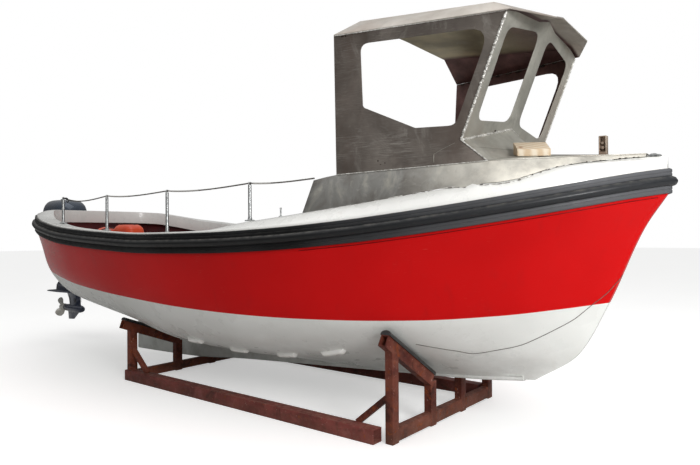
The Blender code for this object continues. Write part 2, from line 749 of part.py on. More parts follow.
def roof():
    """Roof: flat centre with sloping sides, one bent plate."""
    half = [WALL_AFT_TOP, WALL_FORE_TOP, ROOF_FORE, ROOF_MID, ROOF_AFT]
    lift = 0.0005
    v = {}
    verts = []

    def vert(key, p):
        v[key] = len(verts)
        verts.append(Vector(p))
    for side, s in (("s", 1), ("p", -1)):
        for name, p in zip("abcde", half):
            x, y, z = p
            if name == "b":
                x, y, z = x + 0.030, y - 0.006, z - 0.004
            vert(side + name, (x, y * s, z + lift))
    vert("apex", (ROOF_APEX[0], 0, ROOF_APEX[2] + lift))
    vert("ridge", (ROOF_MID[0], 0, ROOF_MID[2] + 0.046 + lift))
    vert("aft", (ROOF_AFT[0], 0, ROOF_AFT[2] + 0.010 + lift))
    top = []
    for s in "sp":
        tri = [("a", "b", "d"), ("a", "d", "e"), ("b", "c", "d")]
        for t in tri:
            face = [v[s + k] for k in t]
            top.append(tuple(face if s == "s" else reversed(face)))
        fan = [(v[s + "e"], v[s + "d"], v["ridge"], v["aft"]),
               (v[s + "d"], v[s + "c"], v["apex"], v["ridge"])]
        for f in fan:
            top.append(f if s == "s" else tuple(reversed(f)))
    n = len(verts)
    under = [p + Vector((0, 0, 0.008)) for p in verts]
    edge = [v["sa"], v["sb"], v["sc"], v["apex"], v["pc"], v["pb"], v["pa"], v["pe"], v["aft"], v["se"]]
    faces = list(top) + [tuple(i + n for i in reversed(f)) for f in top]
    for i, a in enumerate(edge):
        b = edge[(i + 1) % len(edge)]
        faces.append((a, b, b + n, a + n))
    return put("wheelhouse_roof", mesh_from("wheelhouse_roof", verts + under, faces), "aluminium")


roof()


# Fittings on deck.
def on_deck(name, x0, x1, y0, y1, top, colour):
    """A block that stands on the highest point of the deck or foredeck plate below it."""
    high = 0.0
    for i in range(9):
        for j in range(9):
            spot = Vector((x0 + (x1 - x0) * i / 8, y0 + (y1 - y0) * j / 8, 3.0))
            for floor in (deck, foredeck):
                hit, where, _, _ = floor.ray_cast(spot, Vector((0, 0, -1)))
                if hit:
                    high = max(high, where.z)
    return box(name, (x0, y0, high + GAP), (x1, y1, top), colour)


def timber_block():
    """Offcut of timber that lies askew on the foredeck plate, its top sloping to starboard."""
    plan = [((6.200, -0.420), 1.962), ((6.360, -0.310), 1.962), ((6.290, -0.210), 2.015),
            ((6.130, -0.320), 2.015)]
    low, high = [], [Vector((x, y, top)) for (x, y), top in plan]

    def floor(spot):
        return foredeck.ray_cast(Vector((spot.x, spot.y, 3.0)), Vector((0, 0, -1)))[1].z
    a, b, d = high[0], high[1], high[3]
    za, zb, zd = floor(a), floor(b), floor(d)
    worst = 0.0
    for i in range(13):
        for j in range(13):
            spot = a + (b - a) * (i / 12) + (d - a) * (j / 12)
            worst = max(worst, floor(spot) - (za + (zb - za) * i / 12 + (zd - za) * j / 12))
    for p, z in zip(high, (za, zb, zb + zd - za, zd)):
        low.append(Vector((p.x, p.y, z + worst + 0.0008)))
    loft("timber_block", [low, high], "timber")


timber_block()
on_deck("samson_post", 6.572, 6.620, -0.024, 0.024, 2.056, "galvanised")
on_deck("bow_fairlead", 6.868, 6.936, -0.035, 0.035, 1.912, "galvanised")

STANCHIONS = [(1.680, 1.804), (2.630, 1.778), (3.520, 1.780), (4.400, 1.798)]
tops = []
for i, (x, top) in enumerate(STANCHIONS):
    y = opening_y(x) + 0.040
    name = "stanchion_%d" % (i + 1)
    block = on_deck(name + "_foot", x - 0.030, x + 0.030, -y - 0.026, -y + 0.026, 1.9, None)
    foot = min(p.co.z for p in block.data.vertices)
    drop(block)
    flange = box(name, (x - 0.030, -y - 0.026, foot), (x + 0.030, -y + 0.026, foot + 0.008), "galvanised")
    join(flange, rod(name + "_pole", (x, -y, foot + 0.004), (x, -y, top), 0.013, None, 16))
    tops.append(Vector((x, -y, top)))


def lifeline():
    """Thin line over the stanchion tops to the aft end of the coaming, with a little sag."""
    seats = [p + Vector((0, 0, 0.0054)) for p in tops] + [Vector((4.856, -0.9035, 1.8245))]
    path = [seats[0] - Vector((0.016, 0, 0))]
    for a, b in zip(seats, seats[1:]):
        along = Vector((b.x - a.x, b.y - a.y, 0)).normalized() * 0.017
        first, last = a + along, b - along
        for k in range(7):
            t = k / 6
            sag = 0.016 * math.sin(math.pi * t) * (b - a).length
            path.append(first.lerp(last, t) - Vector((0, 0, sag)))
    tube_path("lifeline", path, 0.005, "rope", 8)


lifeline()


# Cockpit.
def inner_wall(x, z):
    """Half breadth of the cockpit's side at x and z, measured on the finished hull."""
    hit, where, _, _ = hull.ray_cast(Vector((x, 0, z)), Vector((0, 1, 0)))
    return where.y if hit else 0.5


def thwart(name, x0, x1, top):
    """A plank from side to side, ends cut to the lie of the hull."""
    deep = 0.035
    low, high = [], []
    for x in (x0, (x0 + x1) / 2, x1):
        low.append((x, inner_wall(x, top - deep) - GAP * 2))
        high.append((x, inner_wall(x, top) - GAP * 2))
    rings = []
    for z, ends in ((top - deep, low), (top, high)):
        rings.append([Vector((x, -y, z)) for x, y in ends] + [Vector((x, y, z)) for x, y in reversed(ends)])
    return loft(name, rings, "gelcoat_white")


thwart("aft_thwart", 0.74, 1.26, 1.200)
thwart("mid_thwart", 3.05, 3.35, 1.080)


def lathe(name, origin, profile, colour, sides=24, axis="z"):
    """A turned body: profile of (radius, along) about an axis through origin."""
    rings = []
    for k in range(sides):
        t = 2 * math.pi * k / sides
        ring = []
        for r, h in profile:
            if axis == "z":
                ring.append(Vector(origin) + Vector((r * math.cos(t), r * math.sin(t), h)))
            else:
                ring.append(Vector(origin) + Vector((h, r * math.cos(t), r * math.sin(t))))
        rings.append(ring)
    return loft(name, rings, colour, closed=True)


def soft_box(name, centre, size, colour, levels, power=4.0, sides=28):
    """A rounded box: level, scale pairs of superellipse rings up its height."""
    cx, cy, cz = centre
    rings = []
    for h, sx, sy, dx in levels:
        ring = []
        for k in range(sides):
            t = 2 * math.pi * k / sides
            c, s = math.cos(t), math.sin(t)
            ex = math.copysign(abs(c) ** (2 / power), c) * size[0] / 2 * sx
            ey = math.copysign(abs(s) ** (2 / power), s) * size[1] / 2 * sy
            ring.append(Vector((cx + dx + ex, cy + ey, cz + h * size[2])))
        rings.append(ring)
    return loft(name, rings, colour)


soft_box("fuel_tank", (0.930, 0.02, 1.2004), (0.42, 0.26, 0.36), "orange",
         [(0.0, 0.94, 0.94, 0), (0.06, 1.0, 1.0, 0), (0.62, 1.0, 1.0, 0), (0.84, 0.93, 0.93, 0),
          (0.94, 0.80, 0.80, 0), (1.0, 0.60, 0.62, 0)])


# Cradle: two rails, two welded frames with sloping bearers, rubber on the bearers.
def hull_under(x, y):
    """Height of the hull's underside above the point x, y of the ground."""
    hit, where, _, _ = hull.ray_cast(Vector((x, y, -1.0)), Vector((0, 0, 1)))
    return where.z if hit else 2.0


def pad_line(x0, x1, y_in, y_out):
    """Heights at y_in and y_out of the highest straight line that stays under the hull."""
    rows = []
    for i in range(9):
        x = x0 + (x1 - x0) * i / 8
        rows.append([hull_under(x, y_in + (y_out - y_in) * k / 24) for k in range(25)])
    low = [min(row[k] for row in rows) for k in range(25)]
    a, b = low[0], low[-1]
    worst = max(a + (b - a) * k / 24 - low[k] for k in range(25))
    return a - max(worst, 0.0), b - max(worst, 0.0)


def frame(name, x, posts, spans, beam, pad_name, pad_height, brace):
    """One frame: cross-beam, four posts, two bearers and two braces in one weldment, and its rubbers."""
    half_x, half_y = TUBE[0] / 2, TUBE[1] / 2
    clear = 0.0006
    y0, y1, z0, z1 = beam
    body = box(name, (x - half_x, y0, z0), (x + half_x, y1, z1), "steel_red")
    bits, hollows = [], []
    for s, (y_in, y_out, overhang) in zip((-1, 1), spans):
        z_in, z_out = pad_line(x - 0.040, x + 0.040, y_in, y_out)
        slope = (z_out - z_in) / (y_out - y_in)
        up = Vector((0, -slope * s, 1)).normalized()
        low = Vector((x, s * (y_in - 0.02), z_in - slope * 0.02))
        high = Vector((x, s * (y_out + overhang), z_out + slope * overhang))
        drop_pad = up * (clear + pad_height / 2)
        bar(pad_name + ("_stbd" if s < 0 else "_port"), low - drop_pad, high - drop_pad, 0.080, pad_height,
            "rubber", up=up)
        drop_bearer = up * (clear + pad_height + GAP + BEARER[1] / 2)
        bits.append(bar(name + "_bearer", low - drop_bearer, high - drop_bearer,
                        BEARER[0] - 0.0004, BEARER[1], up=up))
        for y in [p for p in posts if p * s > 0]:
            top = z_in + slope * (abs(y) - y_in) - (clear + pad_height + GAP + BEARER[1] / 2) / up.z
            bits.append(box(name + "_post", (x - half_x - 0.0002, y - half_y, 0.0),
                            (x + half_x + 0.0002, y + half_y, top)))
        outer = posts[0] if s < 0 else posts[-1]
        start, end = [Vector((px, outer, pz)) for px, pz in brace]
        bits.append(bar(name + "_brace", start, end, 0.040, 0.040))
        along = (high - low).normalized()
        hollows.append(bar(name + "_hollow", high - drop_bearer - along * 0.16,
                           high - drop_bearer + along * 0.05, BEARER[0] - 0.012, BEARER[1] - 0.014, up=up))
    join(body, *bits)
    for y in RAIL_Y:
        reach = RAIL_SIZE / 2 + GAP
        hollows.append(box(name + "_rail_room", (RAIL_AFT_X - 0.2, y - reach, -0.1),
                           (RAIL_FORE_X + GAP, y + reach, RAIL_SIZE + GAP)))
    cut(body, *hollows)
    return body


for name, y in (("cradle_rail_stbd", RAIL_Y[0]), ("cradle_rail_port", RAIL_Y[1])):
    rail = box(name, (RAIL_AFT_X, y - RAIL_SIZE / 2, 0), (RAIL_FORE_X, y + RAIL_SIZE / 2, RAIL_SIZE),
               "steel_red")
    for x0, x1 in ((RAIL_AFT_X - 0.05, RAIL_AFT_X + 0.15), (RAIL_FORE_X - 0.15, RAIL_FORE_X + 0.05)):
        cut(rail, box(name + "_hollow", (x0, y - 0.042, 0.008), (x1, y + 0.042, RAIL_SIZE - 0.008)))

frame("cradle_frame_aft", FRAME_AFT_X, POSTS_AFT, ((0.26, 0.84, 0.045), (0.16, 0.76, 0.045)),
      (RAIL_Y[0] + 0.04, RAIL_Y[1] - 0.04, 0.008, 0.088), "aft_pad", 0.030,
      ((2.600, 0.095), (2.340, 0.315)))
frame("cradle_frame_fore", FRAME_FORE_X, POSTS_FORE, ((0.24, 0.78, 0.030), (0.15, 0.70, 0.030)),
      (POSTS_FORE[0], POSTS_FORE[-1], 0.012, 0.100), "fore_pad", 0.036,
      ((5.130, 0.095), (5.415, 0.330)))


# Outboard.
clamp = box("clamp_bracket", (TRANSOM_X - 0.032, -0.105, 1.030), (TRANSOM_X - GAP, 0.105, 1.330),
            "outboard_blue")
hook = box("clamp_hook", (TRANSOM_X - 0.032, -0.105, TRANSOM_TOP + GAP), (-0.040, 0.105, 1.330))
jaw = box("clamp_jaw", (TRANSOM_X + TRANSOM_THICK + GAP, -0.105, 1.190), (-0.040, 0.105, 1.320))
cheeks = []
for s in (-1, 1):
    y0, y1 = sorted((s * 0.118, s * 0.100))
    cheeks.append(box("clamp_cheek", (-0.215, y0, 1.060), (TRANSOM_X - 0.010, y1, 1.400)))
axis_hole = rod("axis_hole", (TILT_X, -0.2, TILT_Z), (TILT_X, 0.2, TILT_Z), 0.01245, None, 24)
join(clamp, hook, jaw, *cheeks)
cut(clamp, axis_hole)

swivel = lathe("swivel_bracket", (STEER_X, 0, 0),
               [(0.0246, 1.060), (0.052, 1.060), (0.052, 1.345), (0.0246, 1.345)], "outboard_blue")
web = box("swivel_web", (STEER_X + 0.040, -0.060, 1.120), (TILT_X - 0.004, 0.060, 1.345))
knuckle = rod("swivel_knuckle", (TILT_X, -0.092, TILT_Z), (TILT_X, 0.092, TILT_Z), 0.022, None, 24)
web_top = box("swivel_web_top", (STEER_X + 0.075, -0.060, 1.330), (TILT_X, 0.060, 1.375))
pin = rod("swivel_pin", (TILT_X, -0.128, TILT_Z), (TILT_X, 0.128, TILT_Z), 0.012, None, 24)
join(swivel, web, web_top, knuckle, pin)

mid = rod("outboard_leg", (STEER_X, 0, 1.030), (STEER_X, 0, 1.380), 0.024, "outboard_blue", 24)
lower_mount = box("lower_mount", (STEER_X - 0.120, -0.042, 1.012), (STEER_X + 0.031, 0.042, 1.053))
upper_mount = box("upper_mount", (STEER_X - 0.125, -0.050, 1.352), (STEER_X + 0.033, 0.050, 1.407))


def foil(name, levels, colour=None, sides=20):
    """Streamlined column: height, nose x, tail x, half thickness."""
    rings = []
    for z, nose, tail, half in levels:
        ring = []
        for k in range(sides):
            t = 2 * math.pi * k / sides
            c, s = math.cos(t), math.sin(t)
            x = (nose + tail) / 2 + (nose - tail) / 2 * c
            shape = half * s * (0.80 + 0.20 * c)
            ring.append(Vector((x, shape, z)))
        rings.append(ring)
    return loft(name, rings, colour)


column = foil("leg_column", [(1.400, -0.402, -0.640, 0.085), (1.200, -0.402, -0.600, 0.075),
                             (1.045, -0.402, -0.585, 0.070)])
shank = foil("leg_shank", [(1.049, -0.290, -0.585, 0.066), (0.900, -0.255, -0.575, 0.056),
                           (0.825, -0.250, -0.620, 0.054), (0.800, -0.248, -0.820, 0.055),
                           (0.740, -0.245, -0.900, 0.057), (0.655, -0.240, -0.920, 0.057),
                           (0.648, -0.240, -0.600, 0.050), (0.560, -0.245, -0.540, 0.044),
                           (0.430, -0.230, -0.510, 0.040)])
bullet = lathe("gearcase_bullet", (0, 0, PROP_Z),
               [(0.0, -0.150), (0.022, -0.158), (0.038, -0.180), (0.050, -0.225), (0.056, -0.290),
                (0.056, -0.470), (0.050, -0.560), (0.043, -0.630), (0.010, -0.630), (0.010, -0.782),
                (0.0, -0.782)], None, 24, "x")
av_plate = prism("av_plate", [Vector((x, y, PLATE_Z)) for x, y in
                              [(-0.265, 0.0), (-0.340, -0.075), (-0.640, -0.115), (-0.960, -0.108),
                               (-1.000, -0.070), (-1.000, 0.070), (-0.960, 0.108), (-0.640, 0.115),
                               (-0.340, 0.075)]], (0, 0, -0.014))
skeg = prism("skeg", [Vector((-0.240, -0.008, 0.410)), Vector((-0.410, -0.008, 0.282)),
                      Vector((-0.540, -0.008, 0.275)), Vector((-0.560, -0.008, 0.410))], (0, 0.016, 0))
pan = soft_box("motor_pan", (-0.650, 0, 1.392), (0.690, 0.430, 0.060), None,
               [(0.0, 0.80, 0.78, 0.0), (0.5, 0.97, 0.96, 0.0), (1.0, 1.0, 1.0, 0.0)], 3.4)
join(mid, column, lower_mount, upper_mount, shank, bullet, av_plate, skeg, pan)

soft_box("outboard_cowl", (-0.650, 0, 1.4523), (0.710, 0.450, 0.480), "outboard_blue",
         [(0.0, 0.985, 0.975, 0), (0.05, 1.0, 1.0, 0), (0.35, 1.0, 1.0, -0.004), (0.62, 0.975, 0.975, -0.008),
          (0.80, 0.92, 0.92, -0.016), (0.92, 0.80, 0.80, -0.030), (0.98, 0.62, 0.62, -0.040),
          (1.0, 0.36, 0.38, -0.045)], 3.4)


def propeller():
    hub = lathe("propeller", (0, 0, PROP_Z), [(0.0104, -0.636), (0.046, -0.636), (0.048, -0.680),
                                              (0.040, -0.757), (0.030, -0.770), (0.0104, -0.770)],
                "prop_white", 24, "x")
    for b in range(3):
        turn = Matrix.Rotation(2 * math.pi * b / 3 + 0.4, 4, "X")
        rings = []
        for k in range(6):
            f = k / 5
            r = 0.036 + (0.140 - 0.036) * f
            chord = 0.062 + 0.050 * math.sin(math.pi * (0.15 + 0.75 * f))
            pitch = math.atan2(0.33, 2 * math.pi * max(r, 0.05))
            ring = []
            for q in range(12):
                t = 2 * math.pi * q / 12
                along = math.cos(t) * chord / 2
                thick = math.sin(t) * (0.0060 - 0.0035 * f)
                x = -0.700 - along * math.sin(pitch) + thick * math.cos(pitch) - 0.012 * f
                y = along * math.cos(pitch) + thick * math.sin(pitch)
                p = turn @ Vector((x, y, r))
                ring.append(Vector((p.x, p.y, p.z + PROP_Z)))
            rings.append(ring)
        blade = loft("blade", rings)
        join(hub, blade)
    return hub


propeller()

# The origin is the middle of the ground under the whole part.
ends = [v.co.x for obj in PARTS.objects for v in obj.data.vertices]
sides = [v.co.y for obj in PARTS.objects for v in obj.data.vertices]
shift = Vector((-(min(ends) + max(ends)) / 2, -(min(sides) + max(sides)) / 2, 0))
for obj in PARTS.objects:
    obj.data.transform(Matrix.Translation(shift))
print("moved to the origin by", [round(c, 6) for c in shift])
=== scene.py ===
"""Looks of the inshore rescue boat on its cradle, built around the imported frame.

Lengths are metres. Pieces are made in the boat's own numbers (x = 0 near the transom) and moved by SHIFT
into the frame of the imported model.
"""
import math
import random

import bmesh
import bpy
from mathutils import Matrix, Vector


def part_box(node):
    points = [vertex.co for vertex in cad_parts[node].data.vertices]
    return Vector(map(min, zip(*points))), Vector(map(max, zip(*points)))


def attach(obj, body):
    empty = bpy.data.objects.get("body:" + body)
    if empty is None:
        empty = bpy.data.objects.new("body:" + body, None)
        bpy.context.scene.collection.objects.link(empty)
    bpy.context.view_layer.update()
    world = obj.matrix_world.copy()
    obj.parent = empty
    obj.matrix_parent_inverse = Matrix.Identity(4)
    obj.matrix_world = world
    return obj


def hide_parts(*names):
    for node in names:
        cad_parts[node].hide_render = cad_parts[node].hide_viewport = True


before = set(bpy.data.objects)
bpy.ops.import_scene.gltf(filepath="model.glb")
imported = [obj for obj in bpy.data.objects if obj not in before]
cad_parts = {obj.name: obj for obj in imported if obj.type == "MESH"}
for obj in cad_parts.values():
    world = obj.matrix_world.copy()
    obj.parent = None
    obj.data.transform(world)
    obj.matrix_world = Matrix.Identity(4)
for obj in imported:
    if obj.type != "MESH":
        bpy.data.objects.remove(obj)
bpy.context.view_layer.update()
SHIFT = Vector((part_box("hull")[0][0] + 0.12, 0.0, 0.0))

# Camera, as solved from the photo: focal length and width in its pixels, place, and turn.
FOCAL, PHOTO_WIDTH, SENSOR = 600.0, 700.0, 36.0
CAMERA_PLACE = Vector((7.738, -4.121, 1.416))
AZIMUTH, PITCH, ROLL = math.radians(38.44), math.radians(0.244), math.radians(-0.349)
cam_data = bpy.data.cameras.new("camera")
cam_data.sensor_width = SENSOR
cam_data.lens = SENSOR * FOCAL / PHOTO_WIDTH
camera = bpy.data.objects.new("camera", cam_data)
bpy.context.scene.collection.objects.link(camera)
bpy.context.scene.camera = camera
ahead = Vector((-math.sin(AZIMUTH) * math.cos(PITCH), math.cos(AZIMUTH) * math.cos(PITCH), math.sin(PITCH)))
level = Vector((math.cos(AZIMUTH), math.sin(AZIMUTH), 0))
upright = level.cross(ahead)
across = level * math.cos(ROLL) + upright * math.sin(ROLL)
turned = across.cross(ahead)
turn = Matrix((across, turned, -ahead)).transposed().to_4x4()
camera.matrix_world = Matrix.Translation(CAMERA_PLACE + SHIFT) @ turn

# The same numbers as the solids'.
TRANSOM_X = -0.12
STEM_TOP_X = 6.975
SHEER = [(-0.12, 0.420, 1.690), (0.00, 0.500, 1.685), (0.10, 0.580, 1.680), (0.35, 0.810, 1.668),
         (0.70, 0.985, 1.640), (1.05, 1.135, 1.605), (1.52, 1.280, 1.548), (2.07, 1.360, 1.486),
         (2.80, 1.378, 1.440), (3.40, 1.365, 1.418), (4.13, 1.320, 1.426), (4.70, 1.235, 1.450),
         (5.25, 1.085, 1.497), (5.75, 0.905, 1.562), (6.20, 0.690, 1.636), (6.60, 0.440, 1.715),
         (6.83, 0.210, 1.768), (STEM_TOP_X, 0.020, 1.800)]
PAINT = [(-0.12, 0.365, 1.085), (0.35, 0.662, 1.106), (1.24, 1.055, 1.030), (2.00, 1.169, 0.945),
         (2.83, 1.215, 0.890), (3.43, 1.215, 0.858), (4.12, 1.160, 0.833), (4.66, 1.060, 0.825),
         (5.11, 0.930, 0.829), (5.62, 0.710, 0.845), (6.07, 0.440, 0.882), (6.35, 0.235, 0.920),
         (6.626, 0.020, 0.965)]
BILGE = [(-0.12, 0.210, 0.912), (0.50, 0.482, 0.780), (1.20, 0.705, 0.722), (2.36, 0.820, 0.615),
         (3.20, 0.880, 0.515), (4.00, 0.840, 0.505), (4.70, 0.740, 0.540), (5.42, 0.540, 0.615),
         (5.90, 0.310, 0.615), (6.20, 0.140, 0.600), (6.415, 0.020, 0.590)]
KEEL = [(-0.12, 0.020, 0.880), (0.60, 0.020, 0.679), (1.20, 0.020, 0.536), (2.36, 0.020, 0.328),
        (3.40, 0.020, 0.262), (4.40, 0.020, 0.275), (5.42, 0.020, 0.330), (6.130, 0.020, 0.390)]
KEEL_BOTTOM = [(1.215, 0.070), (1.60, 0.078), (2.32, 0.1006), (2.44, 0.1080), (3.00, 0.160), (4.00, 0.225),
               (5.00, 0.288), (5.70, 0.333), (6.05, 0.372)]
OPENING = [(0.330, 0.400), (0.38, 0.540), (0.50, 0.680), (0.75, 0.820), (1.05, 0.950), (1.52, 1.090),
           (2.07, 1.175), (2.80, 1.190), (3.40, 1.175), (4.13, 1.110), (4.70, 1.000), (5.25, 0.860),
           (5.70, 0.730), (5.95, 0.620), (6.08, 0.480)]
DECK_RISE = [(-0.12, 0.080), (0.50, 0.078), (0.84, 0.050), (1.20, 0.020), (3.80, 0.016), (4.05, 0.030),
             (4.30, 0.075), (4.60, 0.098), (4.95, 0.118), (5.60, 0.136), (6.20, 0.138), (6.47, 0.149),
             (6.75, 0.115), (6.975, 0.065)]
SOLE = [(0.290, 0.970), (0.80, 0.880), (1.40, 0.800)]
HULL_WALL, STEM_HOLLOW, FOOT_DROP = 0.050, 0.030, 0.142
WELL_AFT_X, WELL_FORE_X = 0.290, 6.000
DECK_EDGE, LIP_DEPTH, LIP_AFT_X, LIP_FORE_X = 0.028, 0.150, 0.303, 5.95
NOTCH_HALF, NOTCH_FLOOR, NOTCH_FORE_X, TRANSOM_THICK, TRANSOM_TOP = 0.356, 1.120, 0.246, 0.055, 1.290
WALL_AFT_TOP, WALL_FORE_TOP = (5.041, -0.895, 2.813), (6.214, -0.639, 2.791)
WALL_SCREEN_FOOT, WALL_FORE_FOOT = (5.907, -0.660, 2.022), (6.068, -0.617, 1.880)
WALL_AFT_FOOT, SCREEN_FOOT_MID = (5.015, -0.844, 1.844), (5.962, 0.0, 2.173)
ROOF_FORE, ROOF_APEX = (6.405, -0.310, 2.790), (6.340, 0.0, 2.884)
NOSE_EDGE = (5.9585, -0.6462, 1.9766)
COAMING_FOOT = [(4.850, 0.970), (5.015, 0.926), (5.750, 0.766), (6.068, 0.695), (6.250, 0.600),
                (6.390, 0.470), (6.540, 0.285), (6.700, 0.150), (6.862, 0.062)]
LINE_SEAT = 0.0054          # height of the line's middle over a stanchion's top
STANCHIONS = [(1.680, 1.804), (2.630, 1.778), (3.520, 1.780), (4.400, 1.798)]
PROP_Z = 0.430
ROOF_THICK = 0.0095
FLOAT = 0.0003              # the deck and the belt stand this far off the hull
UP = Vector((0, 0, 1))


def smooth(table, x):
    """Monotone cubic through rows of (x, a, b, ...); returns the list of values at x."""
    n = len(table)
    x = min(max(x, table[0][0]), table[-1][0])
    k = 0
    while x > table[k + 1][0]:
        k += 1
    out = []
    for c in range(1, len(table[0])):
        def slope(i):
            return (table[i + 1][c] - table[i][c]) / (table[i + 1][0] - table[i][0])

        def tangent(i):
            if i == 0:
                return slope(0)
            if i == n - 1:
                return slope(n - 2)
            a, b = slope(i - 1), slope(i)
            return 0.0 if a * b <= 0 else 2.0 * a * b / (a + b)
        h = table[k + 1][0] - table[k][0]
        t = (x - table[k][0]) / h
        p0, p1 = table[k][c], table[k + 1][c]
        m0, m1 = tangent(k) * h, tangent(k + 1) * h
        out.append((2 * t ** 3 - 3 * t ** 2 + 1) * p0 + (t ** 3 - 2 * t ** 2 + t) * m0
                   + (-2 * t ** 3 + 3 * t ** 2) * p1 + (t ** 3 - t ** 2) * m1)
    return out


def station(t):
    """A fraction of a length, moved so that even steps come closer at both ends."""
    return min(max(t - 0.11 * math.sin(2 * math.pi * t), 0.0), 1.0)


def evenly(low, high, count):
    return [low + (high - low) * k / count for k in range(count + 1)]


def stretch_of(low, high, count):
    """Places from low to high, closer at both ends."""
    return [low + (high - low) * station(k / count) for k in range(count + 1)]


STATIONS = 150
STATION_XS = stretch_of(TRANSOM_X, STEM_TOP_X, STATIONS)


def sheer_y(x):
    return smooth(SHEER, x)[0]


def sheer_z(x):
    return smooth(SHEER, x)[1]


def opening_y(x):
    return smooth(OPENING, x)[0]


def section(points, parts):
    """A smooth curve through points, with parts[i] steps from point i to the next."""
    lengths = [0.0]
    for a, b in zip(points, points[1:]):
        lengths.append(lengths[-1] + max((b - a).length, 1e-4))
    table = [(s, p.x, p.y, p.z) for s, p in zip(lengths, points)]
    out = []
    for i in range(len(points) - 1):
        for j in range(parts[i]):
            out.append(Vector(smooth(table, lengths[i] + (lengths[i + 1] - lengths[i]) * j / parts[i])))
    out.append(points[-1].copy())
    return out


def foot_of(sheer):
    return sheer - Vector((0, 0.004, FOOT_DROP))


HALF_PARTS = (7, 12, 12, 6)


def hull_half(u):
    """Half section of the hull at the fraction u from transom to stem, keel to sheer."""
    rows = []
    for table in (KEEL, BILGE, PAINT, SHEER):
        x = TRANSOM_X + (table[-1][0] - TRANSOM_X) * u
        rows.append(Vector((x, *smooth(table, x))))
    foot = foot_of(rows[3])
    neck = rows[2].lerp(foot, 0.70) - Vector((STEM_HOLLOW * u ** 8, 0, 0))
    return section(rows[:3] + [neck, foot], HALF_PARTS) + [foot.lerp(rows[3], 0.5), rows[3]]


def half_breadth(x, z):
    """The hull's half breadth at a height."""
    rows = [Vector((x, *smooth(t, x))) for t in (KEEL, BILGE, PAINT, SHEER)]
    pts = section(rows[:3] + [foot_of(rows[3])], (6, 8, 8)) + [rows[3]]
    for a, b in zip(pts, pts[1:]):
        if a.z <= z <= b.z:
            return a.y + (b.y - a.y) * (z - a.z) / max(b.z - a.z, 1e-6)
    return pts[-1].y if z > pts[-1].z else 0.0


# Materials.
def rgb(red, green, blue):
    """Display colour, 0 to 255, as the linear colour that a shader takes."""
    out = []
    for c in (red, green, blue):
        c /= 255.0
        out.append(c / 12.92 if c <= 0.04045 else ((c + 0.055) / 1.055) ** 2.4)
    return (*out, 1.0)


class Nodes:
    """The node tree of a material or of the world."""

    def __init__(self, owner):
        owner.use_nodes = True
        self.nodes, self.links = owner.node_tree.nodes, owner.node_tree.links

    def add(self, kind, inputs=None, output=0, **settings):
        """Adds a node and gives one of its outputs. Its inputs are sockets or plain values."""
        node = self.nodes.new(kind)
        for key, value in settings.items():
            setattr(node, key, value)
        for key, value in (inputs or {}).items():
            if isinstance(value, bpy.types.NodeSocket):
                self.links.new(value, node.inputs[key])
            else:
                node.inputs[key].default_value = value
        return node.outputs[output]


